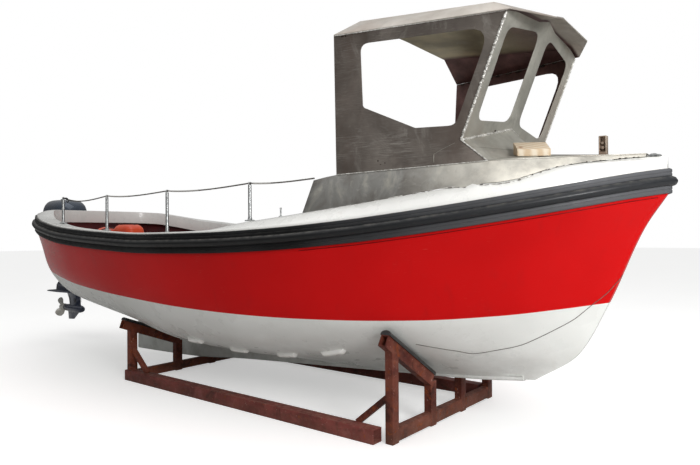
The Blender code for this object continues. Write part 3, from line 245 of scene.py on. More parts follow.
class Look(Nodes):
    """A procedural material, built layer on layer. Its patterns lie in metres on the model."""

    def __init__(self, name, **values):
        self.mat = bpy.data.materials.new(name)
        super().__init__(self.mat)
        self.shader = self.nodes["Principled BSDF"]
        for key, value in values.items():
            self.shader.inputs[key.replace("_", " ")].default_value = value
        self.place = self.add("ShaderNodeTexCoord", output="Object")

    def stretch(self, scale=(1, 1, 1), turn=(0, 0, 0), shift=(0, 0, 0)):
        return self.add("ShaderNodeMapping", {0: self.place, "Location": shift, "Rotation": turn,
                                              "Scale": scale})

    def noise(self, scale, detail=4.0, rough=0.55, warp=0.0, at=None):
        """Noise where at says: a place, or how much finer than scale it is along each axis."""
        if isinstance(at, tuple):
            at = self.stretch(at)
        return self.add("ShaderNodeTexNoise", {"Vector": at or self.place, "Scale": scale, "Detail": detail,
                                               "Roughness": rough, "Distortion": warp})

    def cells(self, scale, at=None):
        return self.add("ShaderNodeTexVoronoi", {"Vector": at or self.place, "Scale": scale})

    def ramp(self, value, *colours, at=(0.3, 0.7)):
        out = self.add("ShaderNodeValToRGB", {0: value})
        marks = out.node.color_ramp.elements
        while len(marks) < len(colours):
            marks.new(0.5)
        for mark, place, colour in zip(marks, at, colours):
            mark.position = place
            mark.color = colour if len(colour) == 4 else rgb(*colour)
        return out

    def fade(self, value, low, high, to_low=0.0, to_high=1.0):
        return self.add("ShaderNodeMapRange", {0: value, 1: low, 2: high, 3: to_low, 4: to_high})

    def mix(self, factor, a, b):
        a, b = (rgb(*c) if isinstance(c, tuple) and len(c) == 3 else c for c in (a, b))
        return self.add("ShaderNodeMix", {0: factor, 6: a, 7: b}, 2, data_type="RGBA")

    def math(self, kind, a, b):
        return self.add("ShaderNodeMath", {0: a, 1: b}, operation=kind)

    def times(self, first, *others):
        for other in others:
            first = self.math("MULTIPLY", first, other)
        return first

    def axis(self, k):
        return self.add("ShaderNodeSeparateXYZ", {0: self.place}, k)

    def facing(self, k):
        """Component k of the surface's own direction."""
        return self.add("ShaderNodeSeparateXYZ", {0: self.add("ShaderNodeNewGeometry", output="Normal")}, k)

    def base(self, value, *colours, at=(0.3, 0.7)):
        self.colour = self.ramp(value, *colours, at=at)

    def over(self, factor, colour):
        """Lays a colour over what is there."""
        self.colour = self.mix(factor, self.colour, colour)

    def stain(self, value, low, high, amount, colour):
        """Lays a colour where a pattern is above low, up to the amount at high."""
        self.over(self.fade(value, low, high, 0.0, amount), colour)

    def done(self, rough=None, bumps=()):
        """Joins colour, roughness (a socket, or a pattern with its range) and bumps to the shader."""
        if isinstance(rough, tuple):
            rough = self.fade(rough[0], 0.3, 0.8, *rough[1:])
        if rough is not None:
            self.links.new(rough, self.shader.inputs["Roughness"])
        self.links.new(self.colour, self.shader.inputs["Base Color"])
        last = None
        for height, distance, strength in bumps:
            inputs = {"Height": height, "Distance": distance, "Strength": strength}
            if last is not None:
                inputs["Normal"] = last
            last = self.add("ShaderNodeBump", inputs)
        if last is not None:
            self.links.new(last, self.shader.inputs["Normal"])
        return self.mat


def red_gelcoat():
    look = Look("red_gelcoat", Coat_Weight=0.05, Coat_Roughness=0.06, Specular_IOR_Level=0.07)
    look.base(look.noise(0.9, 3), (190, 10, 12), (208, 15, 17))
    look.stain(look.noise(6.0, 5, at=(2.2, 2.2, 0.25)), 0.60, 0.82, 0.16, (120, 34, 34))
    scuffs = look.fade(look.noise(34.0, 3, at=(0.5, 0.5, 6.0)), 0.66, 0.74)
    look.over(look.times(scuffs, look.fade(look.noise(1.6, 2), 0.52, 0.66), 0.30), (214, 120, 104))
    smears = look.noise(3.2, 6, 0.68, 1.2, at=look.stretch((1, 1, 2.2), shift=(4, 0, 6)))
    aft = look.times(look.fade(look.axis(0), 0.4, -1.2), look.fade(look.axis(2), 1.15, 1.35))
    look.over(look.times(aft, look.fade(smears, 0.56, 0.72, 0.0, 0.40)), (186, 128, 104))
    look.stain(look.noise(260.0, 2), 0.70, 0.78, 0.10, (230, 190, 180))
    return look.done((look.noise(3.5, 5), 0.10, 0.26),
                     [(look.noise(1.7, 2), 0.006, 0.30), (look.noise(90.0, 2), 0.0004, 0.12)])


# Darker red than the gelcoat: painted shade for the step under the belt.
def flange_shade_red():
    look = Look("flange_shade_red", Roughness=0.5, Specular_IOR_Level=0.1)
    look.base(look.noise(30.0, 4), (104, 6, 8), (134, 10, 12))
    return look.done()


def white_bottom():
    look = Look("white_bottom", Coat_Weight=0.12, Coat_Roughness=0.12, Specular_IOR_Level=0.3)
    look.base(look.noise(1.1, 4), (222, 224, 220), (240, 241, 238))
    look.stain(look.noise(5.0, 6, at=(2.6, 2.6, 0.30)), 0.58, 0.82, 0.20, (186, 182, 170))
    # Darker and blotched towards the keel: painted shade under the hull.
    low = look.fade(look.axis(2), 0.75, 0.25, 0.0, 0.45)
    look.over(look.times(low, look.fade(look.noise(4.0, 7, 0.65), 0.42, 0.70)), (150, 148, 138))
    look.stain(look.noise(120.0, 2), 0.70, 0.76, 0.35, (120, 112, 98))
    return look.done((look.noise(4.5, 5), 0.22, 0.46),
                     [(look.noise(2.2, 2), 0.006, 0.22), (look.noise(70.0, 3), 0.0006, 0.2)])


def deck_white():
    look = Look("deck_white", Coat_Weight=0.30, Coat_Roughness=0.10)
    look.base(look.noise(1.6, 4), (232, 232, 228), (246, 245, 241))
    look.stain(look.noise(7.0, 7, 0.7), 0.58, 0.80, 0.40, (188, 180, 166))
    look.stain(look.noise(150.0, 2), 0.70, 0.76, 0.45, (112, 100, 88))
    return look.done((look.noise(6.0, 5), 0.20, 0.42),
                     [(look.noise(110.0, 3), 0.0005, 0.25), (look.noise(3.0, 2), 0.004, 0.15)])


def inside_red():
    look = Look("inside_red", Coat_Weight=0.1)
    look.base(look.noise(3.0, 6, 0.6), (70, 20, 24), (112, 30, 34))
    look.stain(look.noise(11.0, 7, 0.7), 0.55, 0.75, 0.5, (96, 72, 62))
    low = look.fade(look.facing(2), 0.6, 0.95)
    look.over(look.times(low, look.fade(look.noise(5.0, 8, 0.7), 0.35, 0.65, 0.2, 0.9)), (84, 74, 66))
    weave = look.noise(160.0, 3, at=(1, 1, 0.4))
    return look.done((look.noise(9.0, 4), 0.38, 0.72),
                     [(weave, 0.0010, 0.45), (look.noise(12.0, 4), 0.004, 0.3)])


def rubber(name, dark, grey, turn_grey, gloss=0.25, rough=(0.42, 0.68)):
    """Rubber, greyer forward of turn_grey: painted light on the lit bow, with a random chalky bloom."""
    look = Look(name, Specular_IOR_Level=gloss)
    # Greyer towards the bow: painted light where the bow is lit, mixed with random bloom.
    fore = look.fade(look.axis(0), turn_grey, 3.7)
    bow_light_and_bloom = look.math("ADD", look.times(fore, 0.85), look.fade(look.noise(2.4, 5), 0.35, 0.75, 0.0, 0.15))
    look.colour = look.mix(bow_light_and_bloom, dark, grey)
    look.stain(look.noise(14.0, 6, 0.65, at=(1, 1, 3.0)), 0.60, 0.80, 0.22, (100, 100, 98))
    dust = look.times(look.fade(look.facing(2), 0.4, 0.95), look.fade(look.noise(20.0, 6), 0.4, 0.7), 0.5)
    look.over(dust, (128, 124, 116))
    look.stain(look.noise(60.0, 3, at=(0.35, 0.35, 8.0)), 0.70, 0.78, 0.4, (140, 138, 134))
    return look.done((look.noise(22.0, 5), *rough),
                     [(look.noise(240.0, 3), 0.0006, 0.4), (look.noise(18.0, 4), 0.0016, 0.3)])


def aluminium(name, dark, light, lining=None, metallic=0.82, fan_light=0.30):
    """Bare, handled aluminium sheet: mill marks, sanding fans, stains and a few bright scratches."""
    look = Look(name, Metallic=metallic)
    dark, light = rgb(*dark), rgb(*light)
    mid = tuple((p + q) / 2 for p, q in zip(dark, light))
    look.base(look.noise(2.6, 6, 0.62, 0.4), dark, mid, light, at=(0.30, 0.55, 0.78))
    look.stain(look.noise(5.0, 7, 0.66, 0.6), 0.52, 0.74, 0.60, tuple(c * 0.62 for c in dark[:3]) + (1.0,))
    pale = look.noise(3.6, 6, 0.7, 1.2, at=look.stretch((1, 1, 0.7), shift=(3, 1, 5)))
    look.stain(pale, 0.58, 0.78, 0.50, (196, 192, 184))
    fans = None
    for turn, seed in ((0.9, 0.0), (-0.8, 7.0), (1.35, 13.0)):
        lines = look.noise(90.0, 2, at=look.stretch((0.12, 0.12, 4.0), (0, turn, 0), (seed, 0, seed)))
        where = look.fade(look.noise(2.2, 2, at=look.stretch(shift=(seed, seed, 0))), 0.54, 0.66)
        one = look.times(look.fade(lines, 0.56, 0.68), where)
        fans = one if fans is None else look.math("MAXIMUM", fans, one)
    look.over(look.times(fans, fan_light), (190, 186, 178))
    warm = look.noise(2.3, 5, 0.6, at=look.stretch((1, 1, 0.6), shift=(2, 7, 3)))
    look.stain(warm, 0.48, 0.66, 0.45, tuple(c * f for c, f in zip(dark[:3], (1.10, 0.92, 0.86))) + (1.0,))
    if lining == "wall":
        # Fine bright scratches low on the walls.
        fine = look.noise(150.0, 2, at=look.stretch((0.05, 0.05, 3.2), (0, 0.16, 0)))
        low = look.times(look.fade(look.axis(2), 2.14, 2.06), look.fade(look.axis(2), 1.90, 1.96),
                         look.fade(look.noise(3.4, 3), 0.42, 0.52))
        look.over(look.times(look.fade(fine, 0.57, 0.66), low, 0.55), (206, 202, 194))
    if lining:
        # The faces inside the wheelhouse: bare and olive near the after end, stained red-brown ahead.
        ragged = look.math("ADD", look.axis(0), look.fade(look.noise(3.0, 4), 0.3, 0.7, -0.2, 0.2))
        olive = look.times(look.fade(ragged, 3.05, 2.65), look.fade(look.axis(1), 0.61, 0.52))
        brown = look.ramp(look.noise(7.0, 6, 0.65), (84, 60, 57), (128, 94, 89))
        inner = look.mix(olive, brown, look.ramp(look.noise(3.0, 3), (128, 118, 90), (196, 184, 150),
                                                 at=(0.35, 0.65)))
        if lining == "roof":
            within = look.times(look.fade(look.facing(2), -0.25, -0.6), look.fade(look.axis(0), 3.245, 3.220))
        else:
            # Towards the centreline: the face's y against the point's own side.
            side = look.fade(look.axis(1), -0.05, 0.05, -1.0, 1.0)
            within = look.fade(look.times(look.facing(1), side), -0.3, -0.7)
        look.over(within, inner)
    grain = look.noise(420.0, 2, at=(0.10, 0.10, 1.0))
    rough = look.math("ADD", look.fade(look.noise(6.0, 6, 0.65), 0.3, 0.8, 0.36, 0.60),
                      look.times(fans, -0.08))
    return look.done(rough, [(grain, 0.0003, 0.12), (look.noise(1.9, 2), 0.010, 0.30), (fans, 0.0004, 0.25)])


def coaming_metal():
    """Coaming: vertical blotches of old sealant and oxide, cream towards the bow."""
    look = Look("coaming_metal", Metallic=0.45)
    look.base(look.noise(4.2, 5, 0.62, 0.7, at=(1.3, 1.3, 0.9)), (98, 93, 87), (122, 119, 114),
              (134, 133, 129), (164, 161, 151), at=(0.30, 0.46, 0.58, 0.72))
    smears = look.noise(11.0, 6, 0.7, 1.4, at=look.stretch((1, 1, 1.5), shift=(5, 2, 1)))
    look.stain(smears, 0.56, 0.72, 0.35, (186, 183, 175))
    fore = look.fade(look.axis(0), 2.5, 3.3, 0.0, 0.9)
    look.over(look.times(fore, look.fade(look.noise(5.0, 6, 0.6), 0.28, 0.58, 0.35, 1.0)), (244, 239, 226))
    look.stain(look.noise(22.0, 5, at=(1.5, 1.5, 0.35)), 0.64, 0.76, 0.30, (86, 80, 73))
    return look.done((look.noise(12.0, 5), 0.36, 0.66),
                     [(look.noise(40.0, 5), 0.0014, 0.35), (look.noise(3.0, 2), 0.006, 0.3)])


def weld_metal():
    look = Look("weld_metal", Metallic=0.35)
    look.base(look.noise(45.0, 4), (150, 146, 139), (206, 204, 198), (250, 249, 245), at=(0.3, 0.52, 0.75))
    return look.done((look.noise(60.0, 3), 0.28, 0.55), [(look.noise(180.0, 3), 0.0008, 0.5)])


def galvanised():
    look = Look("galvanised", Metallic=0.85)
    look.base(look.cells(55.0), (150, 152, 152), (184, 186, 186), (206, 208, 206), at=(0.1, 0.5, 0.9))
    look.stain(look.noise(16.0, 6, 0.7), 0.58, 0.76, 0.5, (128, 118, 104))
    return look.done((look.noise(30.0, 4), 0.26, 0.50), [(look.noise(90.0, 3), 0.0005, 0.3)])


def timber():
    look = Look("pale_timber")
    grain_turn = (0, 0, -0.60)
    rings = look.add("ShaderNodeTexWave", {"Vector": look.stretch((1.0, 5.5, 5.5), grain_turn), "Scale": 2.2,
                                           "Distortion": 2.6, "Detail": 2.0, "Detail Scale": 0.9}, 1,
                     wave_type="BANDS", bands_direction="Y")
    look.base(rings, (206, 182, 150), (218, 200, 174), (226, 213, 192), at=(0.15, 0.6, 0.9))
    fibre = look.noise(60.0, 5, 0.65, at=look.stretch((0.5, 8.0, 8.0), grain_turn))
    look.stain(fibre, 0.54, 0.74, 0.30, (184, 146, 104))
    knot = look.fade(look.cells(7.5, at=look.stretch((1, 1, 1.3), shift=(0.02, 0.05, 0))), 0.16, 0.05)
    look.over(look.times(knot, 0.8), (140, 74, 44))
    look.stain(look.noise(13.0, 6, 0.7), 0.58, 0.78, 0.30, (150, 122, 96))
    # Browner on the faces turned aft: painted shade at the block's after end.
    look.stain(look.facing(0), -0.5, -0.9, 0.5, (176, 140, 100))
    return look.done((fibre, 0.55, 0.82), [(fibre, 0.0012, 0.5), (rings, 0.0006, 0.4)])


def rope():
    look = Look("rope_fibre", Sheen_Weight=0.25)
    look.base(look.noise(70.0, 5), (52, 48, 44), (92, 87, 80), (150, 145, 134), at=(0.3, 0.55, 0.8))
    fibres = look.noise(900.0, 2)
    return look.done((fibres, 0.7, 0.95), [(fibres, 0.0006, 0.6)])


def plastic(name, dark, light, scuff, rough=(0.30, 0.48)):
    look = Look(name)
    look.base(look.noise(5.0, 4), dark, light)
    look.stain(look.noise(40.0, 5, 0.65), 0.62, 0.76, 0.35, scuff)
    look.over(look.times(look.fade(look.facing(2), 0.5, 1.0, 0.0, 0.3), look.noise(24.0, 6)), (170, 160, 146))
    return look.done((look.noise(18.0, 4), *rough), [(look.noise(320.0, 2), 0.0004, 0.3)])


def cradle_paint(name, base, light, worn, rust_level):
    """Old red oxide paint on steel: sun-faded, stained, chipped to rust, dusty."""
    look = Look(name, Specular_IOR_Level=0.2)
    look.base(look.noise(4.2, 6, 0.62), base, light, at=(0.36, 0.62))
    look.stain(look.noise(7.0, 7, 0.7, 0.5), 0.54, 0.74, 0.55, worn)
    look.stain(look.noise(6.5, 7, 0.7, 1.0, at=look.stretch(shift=(9, 4, 2))), 0.52, 0.66, 0.75, (40, 22, 20))
    rust = look.noise(15.0, 8, 0.72, 0.8)
    flakes = look.fade(rust, rust_level, rust_level + 0.05)
    look.over(flakes, look.ramp(look.noise(80.0, 5, 0.7), (74, 36, 22), (138, 68, 34), (178, 98, 52),
                                at=(0.3, 0.55, 0.8)))
    chips = look.fade(look.noise(55.0, 6, 0.7), 0.63, 0.67)
    look.over(look.times(chips, 0.7), (190, 150, 140))
    look.over(look.times(look.fade(look.axis(2), 0.16, 0.0, 0.0, 0.65), look.noise(22.0, 6)), (122, 98, 82))
    dust = look.fade(look.facing(2), 0.6, 1.0, 0.0, 0.5)
    look.over(look.times(dust, look.fade(look.noise(30.0, 6), 0.40, 0.65)), (150, 112, 98))
    rough = look.math("ADD", look.fade(look.noise(20.0, 5), 0.3, 0.8, 0.42, 0.66), look.times(flakes, 0.2))
    return look.done(rough, [(rust, 0.0022, 0.5), (look.noise(130.0, 4), 0.0008, 0.45), (chips, 0.0006, 0.5)])


def motor_paint(name, dark, light):
    look = Look(name, Metallic=0.35, Coat_Weight=0.7, Coat_Roughness=0.05)
    look.base(look.noise(700.0, 2), dark, light, at=(0.35, 0.70))
    look.stain(look.noise(14.0, 6, 0.7), 0.60, 0.78, 0.25, (128, 124, 116))
    look.stain(look.noise(80.0, 2, at=look.stretch((0.4, 0.4, 6.0), (0, 0.3, 0))), 0.68, 0.74, 0.35,
               (150, 156, 164))
    return look.done((look.noise(8.0, 5), 0.16, 0.34), [(look.noise(60.0, 2), 0.0004, 0.15)])


def prop_paint():
    look = Look("prop_paint", Metallic=0.35, Coat_Weight=0.2)
    look.base(look.noise(20.0, 5), (190, 188, 180), (226, 224, 216))
    worn = look.fade(look.noise(38.0, 7, 0.7), 0.58, 0.66)
    look.over(look.times(worn, 0.7), (118, 112, 104))
    return look.done((look.noise(30.0, 4), 0.30, 0.55), [(worn, 0.0004, 0.4)])


def dark_metal():
    look = Look("dark_metal", Metallic=0.5)
    look.base(look.noise(60.0, 5, 0.65), (30, 26, 24), (66, 54, 46), (110, 92, 78), at=(0.3, 0.55, 0.8))
    return look.done((look.noise(40.0, 4), 0.45, 0.75), [(look.noise(120.0, 4), 0.0008, 0.4)])


LOOKS = {
    "red": red_gelcoat(),
    "flange_shade_red": flange_shade_red(),
    "bottom": white_bottom(),
    "deck": deck_white(),
    "inside": inside_red(),
    "belt": rubber("belt_rubber", (11, 11, 12), (90, 91, 94), 1.9),
    "half_round": rubber("half_round_rubber", (9, 9, 10), (40, 42, 45), 1.6, 0.35, (0.30, 0.50)),
    "sleeve": rubber("sleeve_rubber", (166, 164, 161), (184, 182, 178), 9.0),
    "pad": rubber("pad_rubber", (12, 12, 13), (24, 24, 26), 9.0, 0.70, (0.14, 0.28)),
    "plate": aluminium("plate_aluminium", (98, 90, 84), (150, 142, 134), "wall", 0.65, 0.42),
    "screen": aluminium("screen_aluminium", (150, 148, 139), (200, 198, 188), None, 0.40, 0.20),
    "roof": aluminium("roof_aluminium", (164, 156, 146), (208, 202, 194), "roof", 0.6),
    "coaming": coaming_metal(),
    "weld": weld_metal(),
    "galvanised": galvanised(),
    "bronze": aluminium("post_bronze", (128, 104, 88), (204, 192, 174), None, 0.4),
    "timber": timber(),
    "rope": rope(),
    "orange": plastic("orange_plastic", (206, 58, 22), (232, 84, 36), (238, 150, 110)),
    "black": plastic("black_plastic", (22, 22, 24), (40, 40, 42), (96, 96, 96), (0.38, 0.60)),
    "cradle": cradle_paint("cradle_paint", (84, 38, 30), (120, 66, 52), (150, 100, 84), 0.58),
    "rail": cradle_paint("rail_paint", (92, 36, 36), (132, 62, 58), (168, 104, 100), 0.60),
    "rusty": cradle_paint("rusty_paint", (92, 42, 32), (130, 70, 54), (158, 106, 90), 0.54),
    "cowl": motor_paint("cowl_paint", (34, 44, 58), (62, 76, 94)),
    "leg": motor_paint("leg_paint", (34, 40, 58), (56, 64, 90)),
    "prop": prop_paint(),
    "dark": dark_metal(),
}


# Mesh helpers.
SLOTS = [bpy.data.materials.new("slot_%d" % i) for i in range(3)]     # stand in until a piece has its looks


def new_piece(name, mesh, looks, body="boat", slot=None, node=None, crease=40, moved=False):
    """Makes a piece: moved into the frame, shaded smooth up to the crease angle, riding on its body."""
    if not moved:
        mesh.transform(Matrix.Translation(SHIFT))
    while len(mesh.materials) > len(looks):
        mesh.materials.pop()
    for i, look in enumerate(looks):
        if i < len(mesh.materials):
            mesh.materials[i] = LOOKS[look]
        else:
            mesh.materials.append(LOOKS[look])
    mesh.shade_smooth()
    mesh.set_sharp_from_angle(angle=math.radians(crease))
    obj = placed(name, mesh)
    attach(obj, body)
    if node:
        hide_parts(node)
    return obj


WELD = 0.00003           # points nearer than this become one


def to_mesh(bm, weld=WELD, slots=()):
    bmesh.ops.remove_doubles(bm, verts=bm.verts, dist=weld)
    bmesh.ops.recalc_face_normals(bm, faces=bm.faces)
    mesh = bpy.data.meshes.new("piece")
    bm.to_mesh(mesh)
    bm.free()
    for slot in slots:
        mesh.materials.append(slot)
    return mesh


def opened(mesh):
    bm = bmesh.new()
    bm.from_mesh(mesh)
    return bm


def piece(name, looks, weld=0.0, **settings):
    """Decorator: the function fills a bmesh, which becomes a piece at once."""
    def made(fill):
        bm = bmesh.new()
        fill(bm)
        new_piece(name, to_mesh(bm, weld), looks, **settings)
    return made


def add_loft(bm, rings, index=0):
    """Adds a closed body through rings of equal length."""
    count = len(rings[0])
    made = [[bm.verts.new(p) for p in ring] for ring in rings]
    for a, b in zip(made, made[1:]):
        for j in range(count):
            k = (j + 1) % count
            bm.faces.new((a[j], a[k], b[k], b[j])).material_index = index
    bm.faces.new(made[0]).material_index = index
    bm.faces.new(made[-1]).material_index = index


def lofted(rings, index=0, slots=()):
    bm = bmesh.new()
    add_loft(bm, rings, index)
    return to_mesh(bm, slots=slots)


def add_box(bm, low, high, index=0):
    (x0, y0, z0), (x1, y1, z1) = low, high
    add_loft(bm, [[(x0, y0, z), (x1, y0, z), (x1, y1, z), (x0, y1, z)] for z in (z0, z1)], index)


def mirror(points):
    return [Vector((p[0], -p[1], p[2])) for p in points]


def both_sides(x, row):
    """Points at x from one side to the other and back, from a row of (y, z)."""
    return [Vector((x, -y, z)) for y, z in row] + [Vector((x, y, z)) for y, z in reversed(row)]


def circle(count):
    return [(math.cos(t), math.sin(t)) for t in (2 * math.pi * k / count for k in range(count))]


def frames_along(path):
    """Two directions square to the path at each point, turning as little as they can."""
    out, normal = [], None
    for i, p in enumerate(path):
        before = (p - path[i - 1]).normalized() if i else None
        after = (path[i + 1] - p).normalized() if i < len(path) - 1 else None
        along = before if after is None else after if before is None else (before + after).normalized()
        if normal is None:
            ref = UP if abs(along.z) < 0.9 else Vector((1, 0, 0))
            normal = along.cross(ref).normalized()
        normal = (normal - along * normal.dot(along)).normalized()
        out.append((normal, along.cross(normal)))
    return out


def add_tube(bm, path, radius, sides=12, index=0):
    """Adds a round bar along a path; radius is one number or one for each point."""
    path = [Vector(p) for p in path]
    radii = radius if isinstance(radius, list) else [radius] * len(path)
    add_loft(bm, [[p + (a * c + b * s) * r for c, s in circle(sides)]
                  for p, r, (a, b) in zip(path, radii, frames_along(path))], index)


def add_turned(bm, origin, axis, profile, sides=24, index=0):
    """Adds a turned body: profile of (radius, along) about axis from origin, closed at both ends."""
    origin, axis = Vector(origin), Vector(axis).normalized()
    ref = UP if abs(axis.z) < 0.9 else Vector((1, 0, 0))
    a = axis.cross(ref).normalized()
    b = axis.cross(a)
    add_loft(bm, [[origin + axis * h + (a * c + b * s) * max(r, 0.0002) for c, s in circle(sides)] for r,
                  h in profile], index)


def add_bolt(bm, place, axis, size):
    """Washer with a hexagon head."""
    add_turned(bm, place, axis, [(size * 1.15, -0.001), (size * 1.15, 0.0014), (size * 1.02, 0.0022)], 16)
    add_turned(bm, place, axis,
               [(size * 0.86, 0.001), (size * 0.86, size * 0.58), (size * 0.70, size * 0.74)], 6)


def spaced(path, step):
    """The path with points at even steps."""
    path = [Vector(p) for p in path]
    out = [path[0].copy()]
    for a, b in zip(path, path[1:]):
        n = max(int((b - a).length / step), 1)
        out += [a.lerp(b, k / n) for k in range(1, n + 1)]
    return out


def add_bead(bm, path, radius, rng, ragged=0.16):
    """Ragged weld bead along a path."""
    points = spaced(path, 0.005)
    radii = []
    phase = rng.random() * 6
    blob = 0.0
    for i, p in enumerate(points):
        ripple = 0.80 + 0.28 * abs(math.sin(phase + i * 1.25))
        end = min(i, len(points) - 1 - i)
        blob = max(blob - 0.10, rng.uniform(0.2, 3.0) * ragged if rng.random() < 0.025 else 0.0)
        radii.append(radius * (ripple + blob + rng.uniform(-ragged, ragged)) * (0.55 if end == 0 else 1.0))
        p += Vector([rng.uniform(-1, 1) * radius * ragged for _ in range(3)])
    add_tube(bm, points, radii, 7)


def settled(obj):
    """The mesh of an object with its modifiers applied; the object goes."""
    bpy.context.view_layer.update()
    graph = bpy.context.evaluated_depsgraph_get()
    mesh = bpy.data.meshes.new_from_object(obj.evaluated_get(graph), depsgraph=graph)
    old = obj.data
    bpy.data.objects.remove(obj, do_unlink=True)
    bpy.data.meshes.remove(old)
    return mesh


def placed(name, data):
    obj = bpy.data.objects.new(name, data)
    bpy.context.scene.collection.objects.link(obj)
    return obj


def boolean(mesh, tool, kind="DIFFERENCE"):
    """The mesh after one boolean; both inputs are used up."""
    body, other = placed("work", mesh), placed("tool", tool)
    mod = body.modifiers.new("cut", "BOOLEAN")
    mod.operation, mod.object, mod.solver = kind, other, "EXACT"
    out = settled(body)
    bpy.data.objects.remove(other, do_unlink=True)
    bpy.data.meshes.remove(tool)
    return out


def bevelled(mesh, width, segments=2, angle=30):
    body = placed("work", mesh)
    mod = body.modifiers.new("edges", "BEVEL")
    mod.width, mod.segments, mod.limit_method = width, segments, "ANGLE"
    mod.angle_limit = math.radians(angle)
    mod.harden_normals = False
    return settled(body)


def solid_box(low, high, index=0, slots=1):
    bm = bmesh.new()
    add_box(bm, low, high, index)
    return to_mesh(bm, slots=SLOTS[:slots])


def copy_of(node, bevel=0.0, segments=2, angle=30, flat=0.4):
    """A CAD node's mesh, its flat faces joined again and its edges eased. Already in the frame."""
    bm = opened(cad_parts[node].data)
    bmesh.ops.remove_doubles(bm, verts=bm.verts, dist=0.00002)
    bmesh.ops.dissolve_limit(bm, angle_limit=math.radians(flat), verts=bm.verts, edges=bm.edges)
    return bevelled(to_mesh(bm, 0.0), bevel, segments, angle)


def copied(name, node, look, bevel, segments=2, angle=30, flat=0.4, **settings):
    """A piece with the shape of a CAD node."""
    new_piece(name, copy_of(node, bevel, segments, angle, flat), [look], node=node, moved=True, **settings)


# Hull.
PAINT_ROW = HALF_PARTS[0] + HALF_PARTS[1]
RED, BOTTOM, INSIDE = 0, 1, 2


def hull_mesh():
    bm = bmesh.new()
    made = []
    for i in range(STATIONS + 1):
        half = hull_half(station(i / STATIONS))
        made.append([bm.verts.new(p) for p in mirror(reversed(half)) + half])
    count = len(made[0])
    half = count // 2

    def paint(row):
        return RED if row >= PAINT_ROW else BOTTOM
    for a, b in zip(made, made[1:]):
        for j in range(count - 1):
            row = half - 2 - j if j < half - 1 else j - half
            bm.faces.new((a[j], a[j + 1], b[j + 1], b[j])).material_index = paint(row)
        bm.faces.new((a[-1], a[0], b[0], b[-1])).material_index = INSIDE
    for ring in (made[0], made[-1]):
        for j in range(half - 1):
            face = bm.faces.new((ring[j], ring[j + 1], ring[count - 2 - j], ring[count - 1 - j]))
            face.material_index = paint(half - 2 - j)
    return to_mesh(bm, slots=SLOTS)


def well_mesh():
    rings = []
    for x in evenly(WELL_AFT_X, WELL_FORE_X, 56):
        top = sheer_y(x) - HULL_WALL
        sole = smooth(SOLE, x)[0]
        row = [(max(min(half_breadth(x, z - 0.03) - HULL_WALL, top), 0.10), z) for z in evenly(sole, 1.26, 8)]
        row[0] = (max(min(row[0][0], half_breadth(x, sole - 0.06) - 0.03), 0.10), sole)
        row += [(top, sheer_z(x) - 0.05), (top, sheer_z(x) + 0.20)]
        rings.append(both_sides(x, row[::-1]))
    return lofted(rings, INSIDE, SLOTS)


def notch_tools(index, slots):
    top = (NOTCH_FORE_X, NOTCH_HALF, 2.2)
    return (solid_box((TRANSOM_X + TRANSOM_THICK, -NOTCH_HALF, NOTCH_FLOOR), top, index, slots),
            solid_box((-0.4, -NOTCH_HALF, TRANSOM_TOP), top, index, slots))


hull = hull_mesh()
for tool in (well_mesh(), *notch_tools(INSIDE, 3)):
    hull = boolean(hull, tool)
HULL = new_piece("boat_hull", hull, ["red", "bottom", "inside"], node="hull", crease=32)


def hull_hit(start, direction):
    """Where a line meets the hull's skin, in the boat's own numbers, with the skin's direction."""
    hit, place, normal, _ = HULL.ray_cast(Vector(start) + SHIFT, Vector(direction))
    return (place - SHIFT, normal) if hit else (None, None)


@piece("boat_keel", ["bottom"], WELD, node="keel")
def keel_mesh(bm):
    """Keel with a rounded shoe and a fillet up to the hull."""
    rings = []
    for x in evenly(KEEL_BOTTOM[0][0], KEEL_BOTTOM[-1][0], 90):
        low = smooth(KEEL_BOTTOM, x)[0]
        high = smooth(KEEL, x)[1] + 0.030
        deep = high - low
        t = 0.0318
        side = [(0.010, low), (0.022, low + 0.003), (t - 0.002, low + 0.010), (t, low + 0.024)]
        side = [(y, min(z, low + deep * 0.4)) for y, z in side]
        for f in (0.55, 0.72, 0.84, 0.93, 1.0):
            side.append((t + 0.018 * max(f - 0.72, 0.0) ** 1.5 / 0.15, low + deep * f))
        rings.append(both_sides(x, side))
    add_loft(bm, rings)


# Deck.
def deck_inner(x):
    """Half breadth of the side deck's inner edge, where it is highest."""
    edge = sheer_y(x)
    if x < OPENING[0][0]:
        return max(edge - 0.20, 0.30)
    if x <= 6.0:
        return min(opening_y(x) + 0.045, edge - 0.035)
    return edge * (0.86 - 0.30 * min((x - 6.0) / 0.9, 1.0))


def deck_z(x, y):
    edge, inner = sheer_y(x), deck_inner(x)
    rise = smooth(DECK_RISE, x)[0]
    base = sheer_z(x) + FLOAT
    y = abs(y)
    if y >= inner:
        t = min(max((edge - y) / max(edge - inner, 1e-4), 0.0), 1.0)
        return base + DECK_EDGE + (rise - DECK_EDGE) * math.sin(math.pi / 2 * t)
    crown = 0.030 if x > 6.0 else 0.0
    return base + rise + crown * (1 - (y / max(inner, 1e-4)) ** 2)


